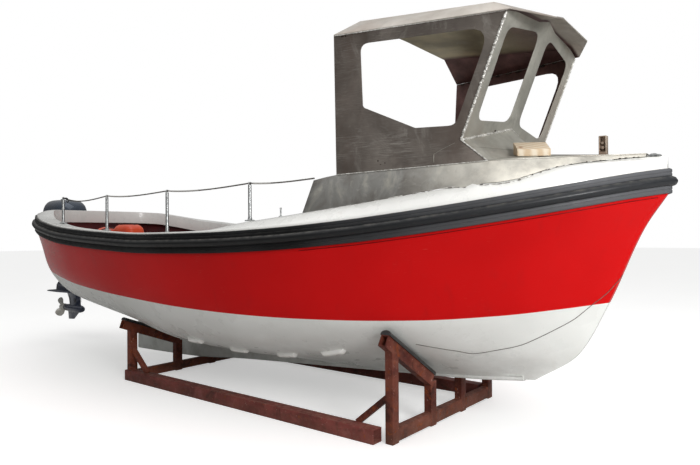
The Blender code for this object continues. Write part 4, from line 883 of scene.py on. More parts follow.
def deck_mesh():
    rings = []
    for x in STATION_XS:
        edge = sheer_y(x)
        inner = min(deck_inner(x), edge * 0.9)
        base, top = sheer_z(x) + FLOAT, deck_z(x, edge)
        row = [(edge, base), (edge, top - 0.014), (edge - 0.0016 * min(1, edge * 8), top - 0.0055)]
        for t in (0.05, 0.12, 0.22, 0.34, 0.48, 0.64, 0.82, 1.0):
            y = edge + (inner - edge) * t
            row.append((y, deck_z(x, y)))
        for f in (0.75, 0.5, 0.25):
            row.append((inner * f, deck_z(x, inner * f)))
        rings.append([Vector((x, -y, z)) for y, z in row] + [Vector((x, 0, deck_z(x, 0)))]
                     + [Vector((x, y, z)) for y, z in reversed(row)])
    slab = lofted(rings)
    rings = []
    for x in stretch_of(LIP_AFT_X, LIP_FORE_X, 60):
        y = opening_y(x) + 0.028
        top = sheer_z(x) + 0.008
        low = min(deck_z(x, 0) - LIP_DEPTH, top - 0.02)
        rings.append(both_sides(x, [(y, top), (y, low)]))
    slab = boolean(slab, lofted(rings), "UNION")
    opening = lofted([both_sides(x, [(opening_y(x), 2.3), (opening_y(x), 0.9)])
                      for x in stretch_of(OPENING[0][0], OPENING[-1][0], 90)])
    for tool in (opening, *notch_tools(0, 1)):
        slab = boolean(slab, tool)
    return slab


deck = bevelled(deck_mesh(), 0.007, 3, 50)
DECK = new_piece("boat_deck", deck, ["deck"], node="deck_moulding", crease=38)


def deck_hit(x, y):
    hit, place, normal, _ = DECK.ray_cast(Vector((x, y, 3.0)) + SHIFT, -UP)
    return (place - SHIFT).z if hit else deck_z(x, y)


# Rubber belt.
@piece("belt", ["belt", "half_round"], WELD, node="fender_belt", crease=50)
def belt_mesh(bm):
    drop = 0.062
    side = [Vector((x, -sheer_y(x), sheer_z(x) - drop)) for x in STATION_XS]
    start = Vector((TRANSOM_X, -NOTCH_HALF - 0.004, side[0].z))
    path = [start] + side
    path += mirror(reversed(path))
    h, t, r = 0.077, 0.020, 0.030           # half height, thickness, radius of the half round
    lower = [(FLOAT, -h), (t - 0.007, -h), (t - 0.002, -h + 0.002), (t, -h + 0.007), (t, -0.056),
             (t - 0.0025, -0.054), (t - 0.0025, -0.050), (t, -0.048), (t, -r - 0.005),
             (t - 0.002, -r - 0.002), (t - 0.001, -r)]
    profile = list(lower)
    for k in range(1, 12):
        a = -math.pi / 2 + math.pi * k / 12
        groove = 0.0016 if k in (4, 8) else 0.0
        profile.append((t + (r - groove) * math.cos(a), (r - groove) * math.sin(a)))
    profile += [(d, -z) for d, z in reversed(lower)]
    rings = []
    for i, p in enumerate(path):
        before = path[i] - path[i - 1] if i else path[1] - path[0]
        after = path[i + 1] - path[i] if i < len(path) - 1 else path[-1] - path[-2]
        b, a = Vector((before.x, before.y, 0)).normalized(), Vector((after.x, after.y, 0)).normalized()
        mean = (a + b).normalized()
        out = Vector((mean.y, -mean.x, 0))
        reach = 1.0 / max(mean.dot(a), 0.6)
        rings.append([p + out * (d * reach) + Vector((0, 0, z)) for d, z in profile])
    add_loft(bm, rings)
    bm.faces.ensure_lookup_table()
    for i in range(len(profile) * (len(rings) - 1)):
        d, z = profile[i % len(profile)]
        bm.faces[i].material_index = int(abs(z) <= r + 0.001 and d > 0.01)


@piece("flange_line", ["flange_shade_red"], WELD, crease=60)
def flange_line(bm):
    """Edge of the hull's flange, a thin line just under the belt from amidships forward, coloured darker red
    than the hull as painted shade under the step.
    """
    for sign in (1, -1):
        path = []
        for x in evenly(4.95, 6.93, 90):
            place, normal = hull_hit((x, -2.0 * sign, sheer_z(x) - FOOT_DROP - 0.013), (0, sign, 0))
            if place is not None:
                path.append(place + normal * 0.0002)
        add_tube(bm, path, 0.0030, 6)


# Wheelhouse, coaming and foredeck: the solids' plates with eased edges.
for side in ("stbd", "port"):
    copied("wall_" + side, "wheelhouse_side_" + side, "plate", 0.0014)
    copied("screen_" + side, "windscreen_" + side, "screen", 0.0014)
    copied("nose_" + side, "nose_panel_" + side, "screen", 0.0012)
    copied("coaming_plate_" + side, "coaming_" + side, "coaming", 0.0012, flat=0.05)
copied("roof_plate", "wheelhouse_roof", "roof", 0.0016, crease=12)
copied("foredeck_sheet", "foredeck_plate", "screen", 0.0010, flat=0.05, crease=14)


def coaming_line(inset, lift):
    """The starboard coaming's foot on the deck, from aft forward."""
    out = []
    for x in evenly(COAMING_FOOT[0][0], COAMING_FOOT[-1][0], 60):
        y_foot = smooth(COAMING_FOOT, x)[0]
        out.append(Vector((x, -y_foot - inset, deck_z(x, y_foot) + lift)))
    return out


@piece("weld_beads", ["weld"], crease=60)
def welds_and_roof_highlight(bm):
    rng = random.Random(11)
    out = Vector((0.001, -0.002, 0))
    seams = [([Vector(WALL_FORE_TOP) + Vector((-0.004, 0, -0.010)), Vector(WALL_SCREEN_FOOT)], 0.0092),
             ([Vector(WALL_SCREEN_FOOT), Vector(SCREEN_FOOT_MID) + Vector((0.002, 0, 0))], 0.0090),
             ([Vector(WALL_SCREEN_FOOT), Vector(NOSE_EDGE)], 0.0046),
             ([Vector(NOSE_EDGE), Vector(WALL_FORE_FOOT)], 0.0044),
             ([Vector(WALL_AFT_FOOT), Vector(WALL_FORE_FOOT)], 0.0036),
             ([Vector(WALL_AFT_TOP) + Vector((0.004, -0.001, -0.002)), Vector(WALL_FORE_TOP)], 0.0036),]
    for path, radius in seams:
        rag = 0.24 if radius > 0.008 else 0.16
        add_bead(bm, [p + out for p in path], radius, rng, ragged=rag)
        add_bead(bm, mirror([p + out for p in path]), radius * (0.6 if radius > 0.008 else 1.0), rng)
    # Tack welds along the coaming's foot.
    line = coaming_line(0.002, 0.004)
    for sign in (1, -1):
        k = 2
        while k < 56:
            n = rng.choice((1, 1, 2, 3))
            part = line[k:k + n + 1] if sign > 0 else mirror(line[k:k + n + 1])
            add_bead(bm, part, rng.uniform(0.0026, 0.0042), rng)
            k += n + rng.choice((1, 2, 2))
    # A bright bead along the roof's front edge: painted highlight of its lit face.
    for s in (-1, 1):
        fore = Vector((ROOF_FORE[0], -s * ROOF_FORE[1], ROOF_FORE[2] + ROOF_THICK))
        add_tube(bm, [Vector(ROOF_APEX) + UP * ROOF_THICK, fore], 0.0016, 6)


@piece("wall_marks", ["screen"], crease=60)
def wall_marks(bm):
    """A doubler's edge and a short upright seam on the starboard wall."""
    rng = random.Random(3)
    add_bead(bm, [Vector((5.726, -0.6975, 1.938)), Vector((5.724, -0.6945, 1.888))], 0.0018, rng)
    add_tube(bm, spaced([(5.724, -0.6995, 1.940), (5.775, -0.6900, 1.968), (5.868, -0.6725, 2.006)], 0.01),
             0.0010, 6)


@piece("wall_holes", ["dark"])
def wall_holes(bm):
    """Small drilled holes in the wall and the screen, drawn as dark plugs: painted shade inside the holes."""
    for place, r in (((5.334, -0.779, 1.923), 0.005), ((5.384, -0.767, 1.906), 0.004),
                     ((5.352, -0.775, 1.898), 0.003)):
        add_turned(bm, place, (-0.2, 1, 0), [(r, -0.0030), (r, 0.0025)], 14)
    add_turned(bm, (5.966, -0.281, 2.123), (-1, 0.1, 0.4), [(0.006, -0.0030), (0.006, 0.0025)], 14)


@piece("roof_seam_marks", ["dark"], crease=60)
def seam_marks(bm):
    """Dark stitches of weld along the inner corners of the roof."""
    rng = random.Random(17)
    start = Vector(WALL_AFT_TOP) + Vector((0.03, 0.012, -0.012))
    end = Vector(WALL_FORE_TOP) + Vector((-0.03, 0.012, -0.012))
    for sign in (1, -1):
        t = 0.02
        while t < 0.96:
            n = rng.uniform(0.025, 0.055)
            a, b = start.lerp(end, t), start.lerp(end, min(t + n, 0.98))
            add_bead(bm, [Vector((a.x, a.y * sign, a.z)), Vector((b.x, b.y * sign, b.z))],
                     rng.uniform(0.005, 0.008), rng)
            t += n + rng.uniform(0.03, 0.07)


def solid_of(node):
    """The lowest and highest corner of a CAD node in the boat's own numbers."""
    return [Vector(corner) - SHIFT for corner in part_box(node)]


# Timber offcut, a little longer aft and higher than its solid.
timber_mesh = copy_of("timber_block", 0.0030, 3)
middle = sum(solid_of("timber_block"), Vector()) / 2 + SHIFT
for vert in timber_mesh.vertices:
    if vert.co.x < middle.x:
        vert.co.x -= 0.018
    if vert.co.z > middle.z:
        vert.co.z += 0.009
new_piece("timber_offcut", timber_mesh, ["timber"], node="timber_block", moved=True)


# Samson post: a box channel with its open side to starboard.
def post_mesh():
    low, high = solid_of("samson_post")
    mid_x = (low.x + high.x) / 2
    wall = 0.006
    recess = solid_box((low.x + wall, low.y - 0.01, low.z + 0.018), high - Vector((wall, wall, wall)))
    bm = opened(bevelled(boolean(solid_box(low, high), recess), 0.0022, 3))
    add_turned(bm, (mid_x, low.y + 0.001, low.z + 0.075), (0, 1, 0), [(0.007, 0), (0.007, 0.040)], 20)
    add_turned(bm, (mid_x, low.y + 0.004, low.z + 0.045), (0, 1, 0),
               [(0.010, 0), (0.010, 0.030), (0.006, 0.034)], 20)
    rng = random.Random(5)
    ring = [(low.x, low.y), (high.x, low.y), (high.x, high.y), (low.x, high.y), (low.x, low.y)]
    add_bead(bm, [Vector((x, y, low.z + 0.001)) for x, y in ring], 0.0036, rng)
    return to_mesh(bm, 0.0)


new_piece("post", post_mesh(), ["bronze"], node="samson_post")


# Bow fairlead: a plate with two cheeks and a roller.
def fairlead_mesh():
    low, high = solid_of("bow_fairlead")
    bm = bmesh.new()
    add_box(bm, low, (high.x, high.y, low.z + 0.008))
    for s in (-1, 1):
        y = s * (high.y - 0.004)
        outline = [(low.x + 0.004, low.z), (high.x - 0.004, low.z), (high.x - 0.010, high.z - 0.006),
                   (high.x - 0.022, high.z), (low.x + 0.022, high.z), (low.x + 0.010, high.z - 0.006)]
        add_loft(bm, [[Vector((x, y + d, z)) for x, z in outline] for d in (-0.003, 0.003)])
    bm = opened(bevelled(to_mesh(bm, 0.0), 0.0012))
    mid = (low + high) / 2
    z = low.z + 0.5 * (high.z - low.z) + 0.003
    rise = min(0.010, z - low.z - 0.004)
    add_turned(bm, (mid.x, -0.026, z), (0, 1, 0),
               [(rise, 0), (rise * 1.1, 0.003), (rise * 0.8, 0.016), (rise * 0.75, 0.026),
                (rise * 0.8, 0.036), (rise * 1.1, 0.049), (rise, 0.052)], 24)
    return to_mesh(bm, 0.0)


new_piece("fairlead", fairlead_mesh(), ["galvanised"], node="bow_fairlead")


@piece("foredeck_bits", ["dark"])
def foredeck_bits(bm):
    """Dark bits of old sealant along the coaming's foot, thicker at its forward end."""
    rng = random.Random(21)
    line = coaming_line(0.006, 0.001)
    for sign in (1, -1):
        for k in range(42, 60):
            if rng.random() < 0.75:
                p = line[k]
                p = Vector((p.x + rng.uniform(-0.01, 0.01), p.y * sign, p.z + 0.002))
                q = p + Vector((rng.uniform(0.006, 0.020), sign * rng.uniform(0.001, 0.005),
                                rng.uniform(0, 0.003)))
                add_tube(bm, [p, (p + q) / 2 + UP * 0.002, q], rng.uniform(0.0016, 0.0034), 6)
        for k in range(1, 42):
            if rng.random() < 0.5:
                p = line[k]
                p = Vector((p.x + rng.uniform(-0.01, 0.01), p.y * sign, p.z + 0.001))
                q = p + Vector((rng.uniform(0.010, 0.03), 0, 0.0005))
                add_tube(bm, [p, q], rng.uniform(0.0010, 0.0020), 6)


# Stanchions and lifeline.
def stanchion_top(k):
    x, top = STANCHIONS[k]
    return Vector((x, -(opening_y(x) + 0.040), top))


def stanchion_mesh(k):
    top = stanchion_top(k)
    foot = solid_of("stanchion_%d" % (k + 1))[0].z
    plate = solid_box((top.x - 0.030, top.y - 0.026, foot), (top.x + 0.030, top.y + 0.026, foot + 0.007))
    bm = opened(bevelled(plate, 0.0022, 3))
    height = top.z - foot
    add_turned(bm, (top.x, top.y, foot), UP,
               [(0.021, 0.006), (0.0175, 0.012), (0.0150, 0.022), (0.0130, 0.030),
                (0.0128, height - 0.012), (0.0120, height - 0.005), (0.0085, height - 0.0012),
                (0.002, height)], 28)
    for dx, dy in ((-0.021, -0.018), (-0.021, 0.018), (0.021, -0.018), (0.021, 0.018)):
        add_bolt(bm, (top.x + dx, top.y + dy, foot + 0.007), UP, 0.0048)
    rng = random.Random(40 + k)
    around = circle(16)
    ring = [Vector((top.x + 0.0145 * c, top.y + 0.0145 * s, foot + 0.008)) for c, s in around + around[:1]]
    add_bead(bm, ring, 0.0030, rng)
    # The clip that holds the line on the top.
    seat = top + UP * LINE_SEAT
    around = circle(20)
    for dx in (-0.006, 0.006):
        add_tube(bm, [seat + Vector((dx, 0.0085 * c, 0.0085 * s + 0.0005)) for c, s in around + around[:1]],
                 0.0018, 8)
    if k == 0:
        gusset = [Vector((top.x - 0.002, top.y, top.z - 0.006)),
                  Vector((top.x - 0.052, top.y, top.z - 0.004)),
                  Vector((top.x - 0.010, top.y, top.z - 0.075))]
        add_loft(bm, [[p + Vector((0, -0.002, 0)) for p in gusset],
                      [p + Vector((0, 0.002, 0)) for p in gusset]])
    return to_mesh(bm, 0.0)


for k in range(4):
    new_piece("post_%d" % (k + 1), stanchion_mesh(k), ["galvanised"], node="stanchion_%d" % (k + 1))


def line_path():
    """The lifeline's path: over the four stanchions to the coaming, sagging between them."""
    seats = [stanchion_top(k) + UP * LINE_SEAT for k in range(4)] + [Vector((4.878, -0.8980, 1.8255))]
    path = [seats[0] - Vector((0.016, 0, 0))]
    for a, b in zip(seats, seats[1:]):
        along = Vector((b.x - a.x, b.y - a.y, 0)).normalized() * 0.017
        first, last = a + along, b - along
        deep = 0.040 if a is seats[0] else 0.020
        for t in evenly(0, 1, 24):
            path.append(first.lerp(last, t)
                        - Vector((0, 0, deep * math.sin(math.pi * t ** 0.8) * (b - a).length)))
    return path


@piece("lifeline_rope", ["rope", "black", "sleeve"], node="lifeline")
def lifeline_mesh(bm):
    """Three-strand line; the aft end of each span runs in a plain sleeve."""
    path = spaced(line_path(), 0.0035)
    around = frames_along(path)
    lengths = [0.0]
    for a, b in zip(path, path[1:]):
        lengths.append(lengths[-1] + (b - a).length)
    for s in range(3):
        strand = []
        for p, (a, b), d in zip(path, around, lengths):
            t = 2 * math.pi * (d / 0.034 + s / 3)
            strand.append(p + (a * math.cos(t) + b * math.sin(t)) * 0.0029)
        add_tube(bm, strand, 0.0032, 6)
    for k, length, index in ((0, 0.24, 1), (1, 0.34, 2), (2, 0.36, 2), (3, 0.15, 2)):
        start = stanchion_top(k).x + 0.022
        sleeve = [p for p in path if start <= p.x <= start + length][::6]
        add_tube(bm, sleeve, [0.0066] * len(sleeve), 14, index)
    # Whippings at both ends.
    for part in (path[:12], path[-12:]):
        add_tube(bm, part, [0.0055 + 0.0004 * (i % 2) for i in range(len(part))], 12)


@piece("snap_hook", ["black"], WELD)
def hook_mesh(bm):
    """Black snap hook and its short lanyard at the first stanchion."""
    top = stanchion_top(0)
    path = [top + Vector(p) for p in ((0.004, -0.002, 0.004), (0.03, -0.006, -0.002), (0.07, -0.008, 0.004),
                                      (0.105, -0.008, -0.004), (0.125, -0.008, -0.022),
                                      (0.118, -0.008, -0.040), (0.098, -0.008, -0.044),
                                      (0.086, -0.008, -0.030))]
    add_tube(bm, spaced(path, 0.006), 0.0042, 10)


@piece("deck_pins", ["galvanised"])
def deck_pin(bm):
    """Small steel pin with a flange on each side deck, forward of the last stanchion."""
    for sign in (-1, 1):
        x = 4.66
        y = sign * (opening_y(x) + 0.035)
        z = deck_hit(x, y)
        add_turned(bm, (x, y, z - 0.003), UP,
                   [(0.016, 0.0), (0.016, 0.006), (0.013, 0.009), (0.0055, 0.012), (0.0055, 0.058),
                    (0.0075, 0.060), (0.0075, 0.068), (0.004, 0.071)], 20)


# Cockpit: thwarts and the portable tank.
for node in ("aft_thwart", "mid_thwart"):
    copied(node + "_plank", node, "inside", 0.006, 3)


def rounded_ring(cx, cy, z, sx, sy, power, sides):
    return [Vector((cx + math.copysign(abs(c) ** (2 / power), c) * sx / 2,
                    cy + math.copysign(abs(s) ** (2 / power), s) * sy / 2, z)) for c, s in circle(sides)]


def tank_mesh():
    cx, cy, cz, sx, sy, sz = 0.930, 0.02, 1.2004, 0.42, 0.26, 0.36
    levels = [(0.0, 0.94, 0.94), (0.06, 1.0, 1.0), (0.62, 1.0, 1.0), (0.84, 0.93, 0.93), (0.94, 0.80, 0.80),
              (1.0, 0.60, 0.62)]
    rings = []
    for k, h in enumerate(evenly(0, 1, 48)):
        fx, fy = smooth(levels, h)
        groove = 0.985 if k % 8 in (3, 4) and 0.1 < h < 0.6 else 1.0
        rings.append(rounded_ring(cx, cy, cz + h * sz, sx * fx * groove, sy * fy * groove, 4.0, 56))
    body = lofted(rings)
    top = cz + sz
    slot = solid_box((cx - 0.10, cy - 0.045, top - 0.050), (cx + 0.04, cy + 0.045, top + 0.05))
    bm = opened(bevelled(boolean(body, slot), 0.004, 2, 50))
    handle = [(cx - 0.105, cy, top - 0.020), (cx - 0.085, cy, top - 0.009), (cx - 0.03, cy, top - 0.006),
              (cx + 0.025, cy, top - 0.009), (cx + 0.045, cy, top - 0.020)]
    add_tube(bm, spaced(handle, 0.008), 0.0085, 12)
    add_turned(bm, (cx + 0.100, cy, top - 0.022), UP,
               [(0.036, 0), (0.036, 0.018), (0.033, 0.021), (0.004, 0.0215)], 32, 1)
    for c, s in circle(16):
        p = Vector((cx + 0.100 + 0.036 * c, cy + 0.036 * s, top - 0.020))
        add_tube(bm, [p, p + UP * 0.016], 0.0022, 6, 1)
    add_turned(bm, (cx - 0.150, cy + 0.03, top - 0.034), UP,
               [(0.016, 0), (0.016, 0.014), (0.008, 0.016), (0.008, 0.030), (0.0, 0.031)], 20, 1)
    return to_mesh(bm, 0.0)


new_piece("tank", tank_mesh(), ["orange", "black"], node="fuel_tank")


@piece("kit_bag", ["orange", "black"])
def kit_bag(bm):
    """Soft orange bag with dark straps, standing on the sole behind the tank."""
    cx, cy, sx, sy, top = 0.572, -0.070, 0.252, 0.350, 1.536
    rings = []
    for h in evenly(0, 1, 32):
        f = 0.90 + 0.10 * math.sin(math.pi * h)
        if h >= 0.72:
            f = 0.97 * math.sqrt(max(1 - ((h - 0.72) / 0.284) ** 2.4, 0.02))
        ring = rounded_ring(cx + 0.012 * math.sin(4 * h), cy, 0.0, sx * f, sy * f, 2.8, 64)
        for j, p in enumerate(ring):
            t = 2 * math.pi * j / 64
            dent = 1 + 0.030 * math.sin(5 * t + 7 * h) * math.sin(3.1 * h) + 0.012 * math.sin(11 * t - 16 * h)
            p.x, p.y = cx + (p.x - cx) * dent, cy + (p.y - cy) * dent
            base = smooth(SOLE, p.x)[0] + 0.002
            p.z = base + (top - base) * h
        rings.append(ring)
    add_loft(bm, rings)
    for dx in (-0.045, 0.050):
        path = []
        for a in evenly(0, math.pi, 40):
            path.append(Vector((cx + dx + 0.025 * math.sin(a), cy - 0.1765 * math.cos(a),
                                1.30 + 0.224 * math.sin(a) ** 0.5)))
        add_tube(bm, path, 0.0065, 8, 1)


# Cradle.
for node, look in (("cradle_frame_aft", "rusty"), ("cradle_frame_fore", "cradle"),
                   ("cradle_rail_stbd", "rail"), ("cradle_rail_port", "rail")):
    copied(node + "_steel", node, look, 0.0032, 3)


def pad_mesh(node):
    """Half round rubber in the place of the pad's solid."""
    verts = [v.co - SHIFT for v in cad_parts[node].data.vertices]
    ys = sorted(set(round(v.y, 4) for v in verts))
    cut_y = (ys[0] + ys[-1]) / 2
    ends = []
    for group in ([v for v in verts if v.y < cut_y], [v for v in verts if v.y >= cut_y]):
        ends.append(sum(group, Vector()) / len(group))
    start, end = ends
    side = Vector((1, 0, 0))
    up = side.cross((end - start).normalized())
    up = up if up.z > 0 else -up
    reach = [(v - start).dot(up) for v in verts]
    low, high = min(reach), max(reach)
    profile = [(-0.0395, low), (-0.040, low + 0.008)]
    for k in range(13):
        a = math.pi - math.pi * k / 12
        profile.append((0.040 * math.cos(a), low + 0.008 + (high - low - 0.008) * math.sin(a) ** 0.8))
    profile += [(0.040, low + 0.008), (0.0395, low)]
    rings = [[start.lerp(end, t) + side * s + up * h for s, h in profile] for t in evenly(0, 1, 40)]
    return lofted(rings)


for node in ("aft_pad_port", "aft_pad_stbd", "fore_pad_port", "fore_pad_stbd"):
    new_piece(node + "_rubber", pad_mesh(node), ["pad"], node=node, crease=50)


@piece("cradle_weld_beads", ["rusty"], crease=60)
def cradle_welds(bm):
    rng = random.Random(31)
    for x, posts, z in ((2.335, (-0.800, -0.270, 0.170, 0.720), (0.008, 0.088)),
                        (5.420, (-0.7525, -0.250, 0.215, 0.700), (0.012, 0.100))):
        for y in posts[1:3]:
            for s in (-1, 1):
                add_bead(bm, [Vector((x - 0.029, y + s * 0.038, z[1])),
                              Vector((x + 0.029, y + s * 0.038, z[1]))], 0.0044, rng)
                for dx in (-0.030, 0.030):
                    add_bead(bm, [Vector((x + dx, y + s * 0.038, z[0])),
                                  Vector((x + dx, y + s * 0.038, z[1]))], 0.0038, rng)
    for y in (-0.814, 0.735):
        for s in (-1, 1):
            add_bead(bm, [Vector((2.366, y + s * 0.042, 0.101)), Vector((2.366, y + s * 0.018, 0.101))],
                     0.004, rng)


# Bilge strips on the bottom, both sides.
@piece("bilge_strips", ["deck"], crease=50)
def bilge_strips(bm):
    for x0, x1, y in ((3.40, 3.58, -0.905), (3.80, 4.00, -0.775), (4.28, 4.48, -0.700), (4.74, 4.96, -0.690)):
        for sign in (1, -1):
            rings = []
            for t in evenly(0, 1, 12):
                x = x0 + (x1 - x0) * t
                place, normal = hull_hit((x, y * sign, -0.5), (0, 0, 1))
                if place is None:
                    continue
                along = Vector((1, 0, 0))
                side = normal.cross(along).normalized()
                end = min(t, 1 - t)
                high = 0.032 * min(1.0, (end / 0.10) ** 0.5) if end < 0.10 else 0.032
                arch = [(math.cos(a), abs(math.sin(a))) for a in evenly(0, math.pi, 8)]
                rings.append([place + side * (0.026 * math.copysign(abs(c) ** 0.5, c))
                              + normal * (high * r ** 0.5 - 0.002) for c, r in arch])
            add_loft(bm, rings)


# Grey line held against the starboard bow.
BOW_LINE = [(5.496, -0.566, 0.655), (5.573, -0.506, 0.637), (5.644, -0.451, 0.621), (5.726, -0.386, 0.605),
            (5.808, -0.322, 0.588), (5.969, -0.283, 0.624), (6.114, -0.237, 0.665), (6.220, -0.208, 0.718),
            (6.311, -0.177, 0.772), (6.380, -0.149, 0.815), (6.446, -0.122, 0.861), (6.496, -0.104, 0.908),
            (6.547, -0.085, 0.958), (6.591, -0.064, 0.998), (6.636, -0.045, 1.044), (6.680, -0.030, 1.100),
            (6.712, -0.016, 1.142)]


@piece("bow_line", ["rope"], WELD)
def bow_line(bm):
    table = [(i, *p) for i, p in enumerate(BOW_LINE)]
    path = []
    for t in evenly(0, len(BOW_LINE) - 1, 120):
        p = Vector(smooth(table, t))
        place, normal = hull_hit(p + Vector((0.10, -0.25, -0.10)), Vector((-0.10, 0.25, 0.10)).normalized())
        path.append(place + normal * 0.0017 if place is not None else p)
    add_tube(bm, path, 0.0022, 8)


# Outboard motor.
def cowl_mesh():
    """Cowl: a low dome with a seam, an air slot aft and a grip forward."""
    levels = [(0.0, 0.975, 0.965, 0.0), (0.05, 1.0, 1.0, 0.0), (0.30, 1.0, 1.0, -0.002),
              (0.52, 1.0, 0.995, -0.004), (0.68, 0.975, 0.965, -0.006), (0.80, 0.925, 0.910, -0.008),
              (0.89, 0.840, 0.820, -0.012), (0.955, 0.705, 0.685, -0.018), (0.988, 0.520, 0.500, -0.024),
              (1.0, 0.240, 0.240, -0.028)]
    cx, cz, sx, sy, sz = -0.650, 1.4523, 0.710, 0.450, 0.480
    heights = [0.0, 0.012, 0.03, 0.05]
    heights += [0.05 + 0.55 * k / 18 for k in range(1, 19)]
    heights += [0.60 + 0.40 * math.sin(math.pi / 2 * k / 26) for k in range(1, 27)]
    rings = []
    for h in heights:
        fx, fy, dx = smooth(levels, h)
        groove = 0.988 if 0.115 < h < 0.145 else 1.0
        rings.append(rounded_ring(cx + dx, 0, cz + h * sz, sx * fx * groove, sy * fy * groove, 3.4 - 0.5 * h,
                                  96))
    body = lofted(rings)
    slot = solid_box((cx - sx / 2 - 0.05, -0.12, cz + 0.355), (cx - sx / 2 + 0.085, 0.12, cz + 0.385))
    body = boolean(body, slot)
    grip = solid_box((cx + sx / 2 - 0.045, -0.07, cz + 0.075), (cx + sx / 2 + 0.05, 0.07, cz + 0.105))
    return bevelled(boolean(body, grip), 0.0035, 2, 50)


new_piece("motor_cowl", cowl_mesh(), ["cowl"], body="motor", node="outboard_cowl", crease=45)
copied("motor_leg", "outboard_leg", "leg", 0.0022, 2, 40, body="motor", crease=38)
copied("motor_swivel", "swivel_bracket", "leg", 0.0016, 2, 40, body="swivel", crease=38)
copied("motor_clamp", "clamp_bracket", "leg", 0.0030, 3, 40, crease=38)


@piece("motor_trim", ["galvanised", "black"], body="motor", slot="motor_paint")
def motor_trim(bm):
    """Rubber strip under the cowl, leg bolts, water intake ribs and latches."""
    rings = [rounded_ring(-0.650, 0, 1.4435 + dz, 0.700 + d, 0.438 + d, 3.4, 96) for dz,
             d in ((-0.002, -0.02), (0.0, 0.0), (0.003, 0.008), (0.006, 0.008), (0.0085, 0.0))]
    add_loft(bm, rings, index=1)
    for s in (-1, 1):
        for x, z in ((-0.31, 0.86), (-0.31, 0.74), (-0.50, 0.86), (-0.50, 0.74)):
            half = 0.052 if z > 0.8 else 0.048
            add_bolt(bm, (x, s * half * 0.92, z), (0, s, 0), 0.007)
        for k in range(5):
            z = 0.520 + 0.012 * k
            add_box(bm, (-0.335, s * 0.0405 - 0.003, z), (-0.285, s * 0.0405 + 0.003, z + 0.004), 1)
        add_turned(bm, (-0.60, s * 0.215, 1.425), (0, s, 0),
                   [(0.014, -0.01), (0.014, 0.006), (0.010, 0.008)], 20)
    add_box(bm, (-0.66, -0.012, 1.405), (-0.640, 0.012, 1.430))


@piece("clamp_screws", ["galvanised"], slot="motor_paint")
def clamp_screws(bm):
    for s in (-1, 1):
        for z in (1.10, 1.20):
            add_bolt(bm, (-0.152, s * 0.07, z), (-1, 0, 0), 0.009)
        add_turned(bm, (-0.040, s * 0.07, 1.250), (1, 0, 0),
                   [(0.009, 0.0), (0.009, 0.045), (0.014, 0.046), (0.014, 0.058), (0.009, 0.060)], 20)
        add_tube(bm, [(0.012, s * 0.07 - 0.045, 1.250), (0.012, s * 0.07 + 0.045, 1.250)], 0.0045, 10)


@piece("propeller_wheel", ["prop"], body="propeller", node="propeller")
def propeller_mesh(bm):
    add_turned(bm, (0, 0, PROP_Z), (-1, 0, 0),
               [(0.0104, 0.6360), (0.044, 0.6362), (0.046, 0.640), (0.048, 0.680), (0.0445, 0.720),
                (0.040, 0.752), (0.034, 0.764), (0.028, 0.7695), (0.0104, 0.770)], 48)
    for b in range(3):
        turn = Matrix.Rotation(2 * math.pi * b / 3 + 0.4, 3, "X")
        rings = []
        for f in evenly(0, 1, 18):
            r = 0.036 + 0.104 * f
            chord = 0.062 + 0.050 * math.sin(math.pi * (0.15 + 0.75 * f))
            if f > 0.8:
                chord *= math.sqrt(max(1 - ((f - 0.8) / 0.205) ** 2, 0.02))
            pitch = math.atan2(0.33, 2 * math.pi * max(r, 0.05))
            ring = []
            for c, s in circle(28):
                along = c * chord / 2
                thick = s * (0.0060 - 0.0035 * f)
                x = -0.700 - along * math.sin(pitch) + thick * math.cos(pitch) - 0.012 * f
                y = along * math.cos(pitch) + thick * math.sin(pitch)
                p = turn @ Vector((x, y, r))
                ring.append(Vector((p.x, p.y, p.z + PROP_Z)))
            rings.append(ring)
        add_loft(bm, rings)


@piece("shaft_nut", ["galvanised"], body="propeller", slot="propeller_paint")
def shaft_nut(bm):
    add_turned(bm, (-0.770, 0, PROP_Z), (-1, 0, 0), [(0.017, 0.0), (0.017, 0.003)], 24)
    add_turned(bm, (-0.773, 0, PROP_Z), (-1, 0, 0), [(0.0125, 0.0), (0.0125, 0.006), (0.010, 0.0085)], 6)


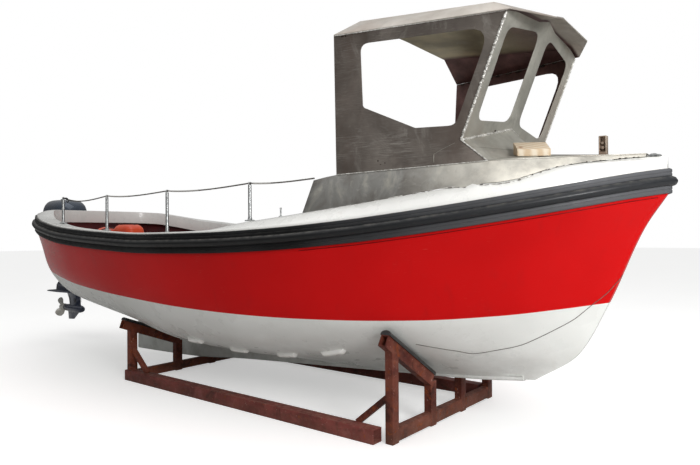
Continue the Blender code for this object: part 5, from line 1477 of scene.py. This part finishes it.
# Floor, light and sky.
SKY_LOW, SKY_HIGH = 0.075, 0.92
bm = bmesh.new()
bmesh.ops.create_grid(bm, x_segments=2, y_segments=2, size=60.0)
floor_mesh = bpy.data.meshes.new("floor")
bm.to_mesh(floor_mesh)
bm.free()
floor = placed("floor", floor_mesh)
floor_look = Look("pale_floor", Roughness=0.9, Specular_IOR_Level=0.0, Emission_Strength=0.42)
seen = floor_look.add("ShaderNodeLightPath", output="Is Camera Ray")
glow = floor_look.mix(seen, (60, 60, 60), (255, 255, 255))
floor_look.links.new(glow, floor_look.shader.inputs["Emission Color"])
pale = floor_look.ramp(floor_look.noise(0.8, 3), (238, 238, 237), (241, 241, 240))
floor_look.colour = floor_look.mix(seen, (196, 196, 194), pale)
floor_mesh.materials.append(floor_look.done())

world = bpy.data.worlds.new("studio")
bpy.context.scene.world = world
sky = Nodes(world)
white = sky.nodes["Background"]
white.inputs["Color"].default_value = (1.0, 1.0, 1.0, 1.0)
white.inputs["Strength"].default_value = 1.0
height = sky.add("ShaderNodeSeparateXYZ", {0: sky.add("ShaderNodeTexCoord", output="Generated")}, 2)
bright = sky.add("ShaderNodeMapRange", {0: height, 1: 0.08, 2: 0.9, 3: SKY_LOW, 4: SKY_HIGH})
soft = sky.add("ShaderNodeBackground", {"Strength": bright})
seen = sky.add("ShaderNodeLightPath", output="Is Camera Ray")
either = sky.add("ShaderNodeMixShader", {0: seen, 1: soft, 2: white.outputs[0]})
sky.links.new(either, sky.nodes["World Output"].inputs[0])
bpy.context.scene.view_settings.view_transform = "Standard"


def area_light(name, place, target, size, power, spread=180):
    data = bpy.data.lights.new(name, "AREA")
    data.spread = math.radians(spread)
    data.shape, data.size, data.size_y, data.energy = "RECTANGLE", size[0], size[1], power
    obj = placed(name, data)
    obj.location = place
    obj.rotation_euler = (Vector(target) - Vector(place)).to_track_quat("-Z", "Y").to_euler()


area_light("key", (8.7, -4.0, 4.1), (4.8, -0.4, 1.3), (3.2, 2.6), 250)
area_light("bow", (9.0, -3.9, 3.0), (6.5, -0.3, 1.5), (2.0, 1.6), 75, 80)
area_light("top", (0.5, -1.0, 8.0), (0.0, 0.0, 0.0), (9.0, 6.0), 170)
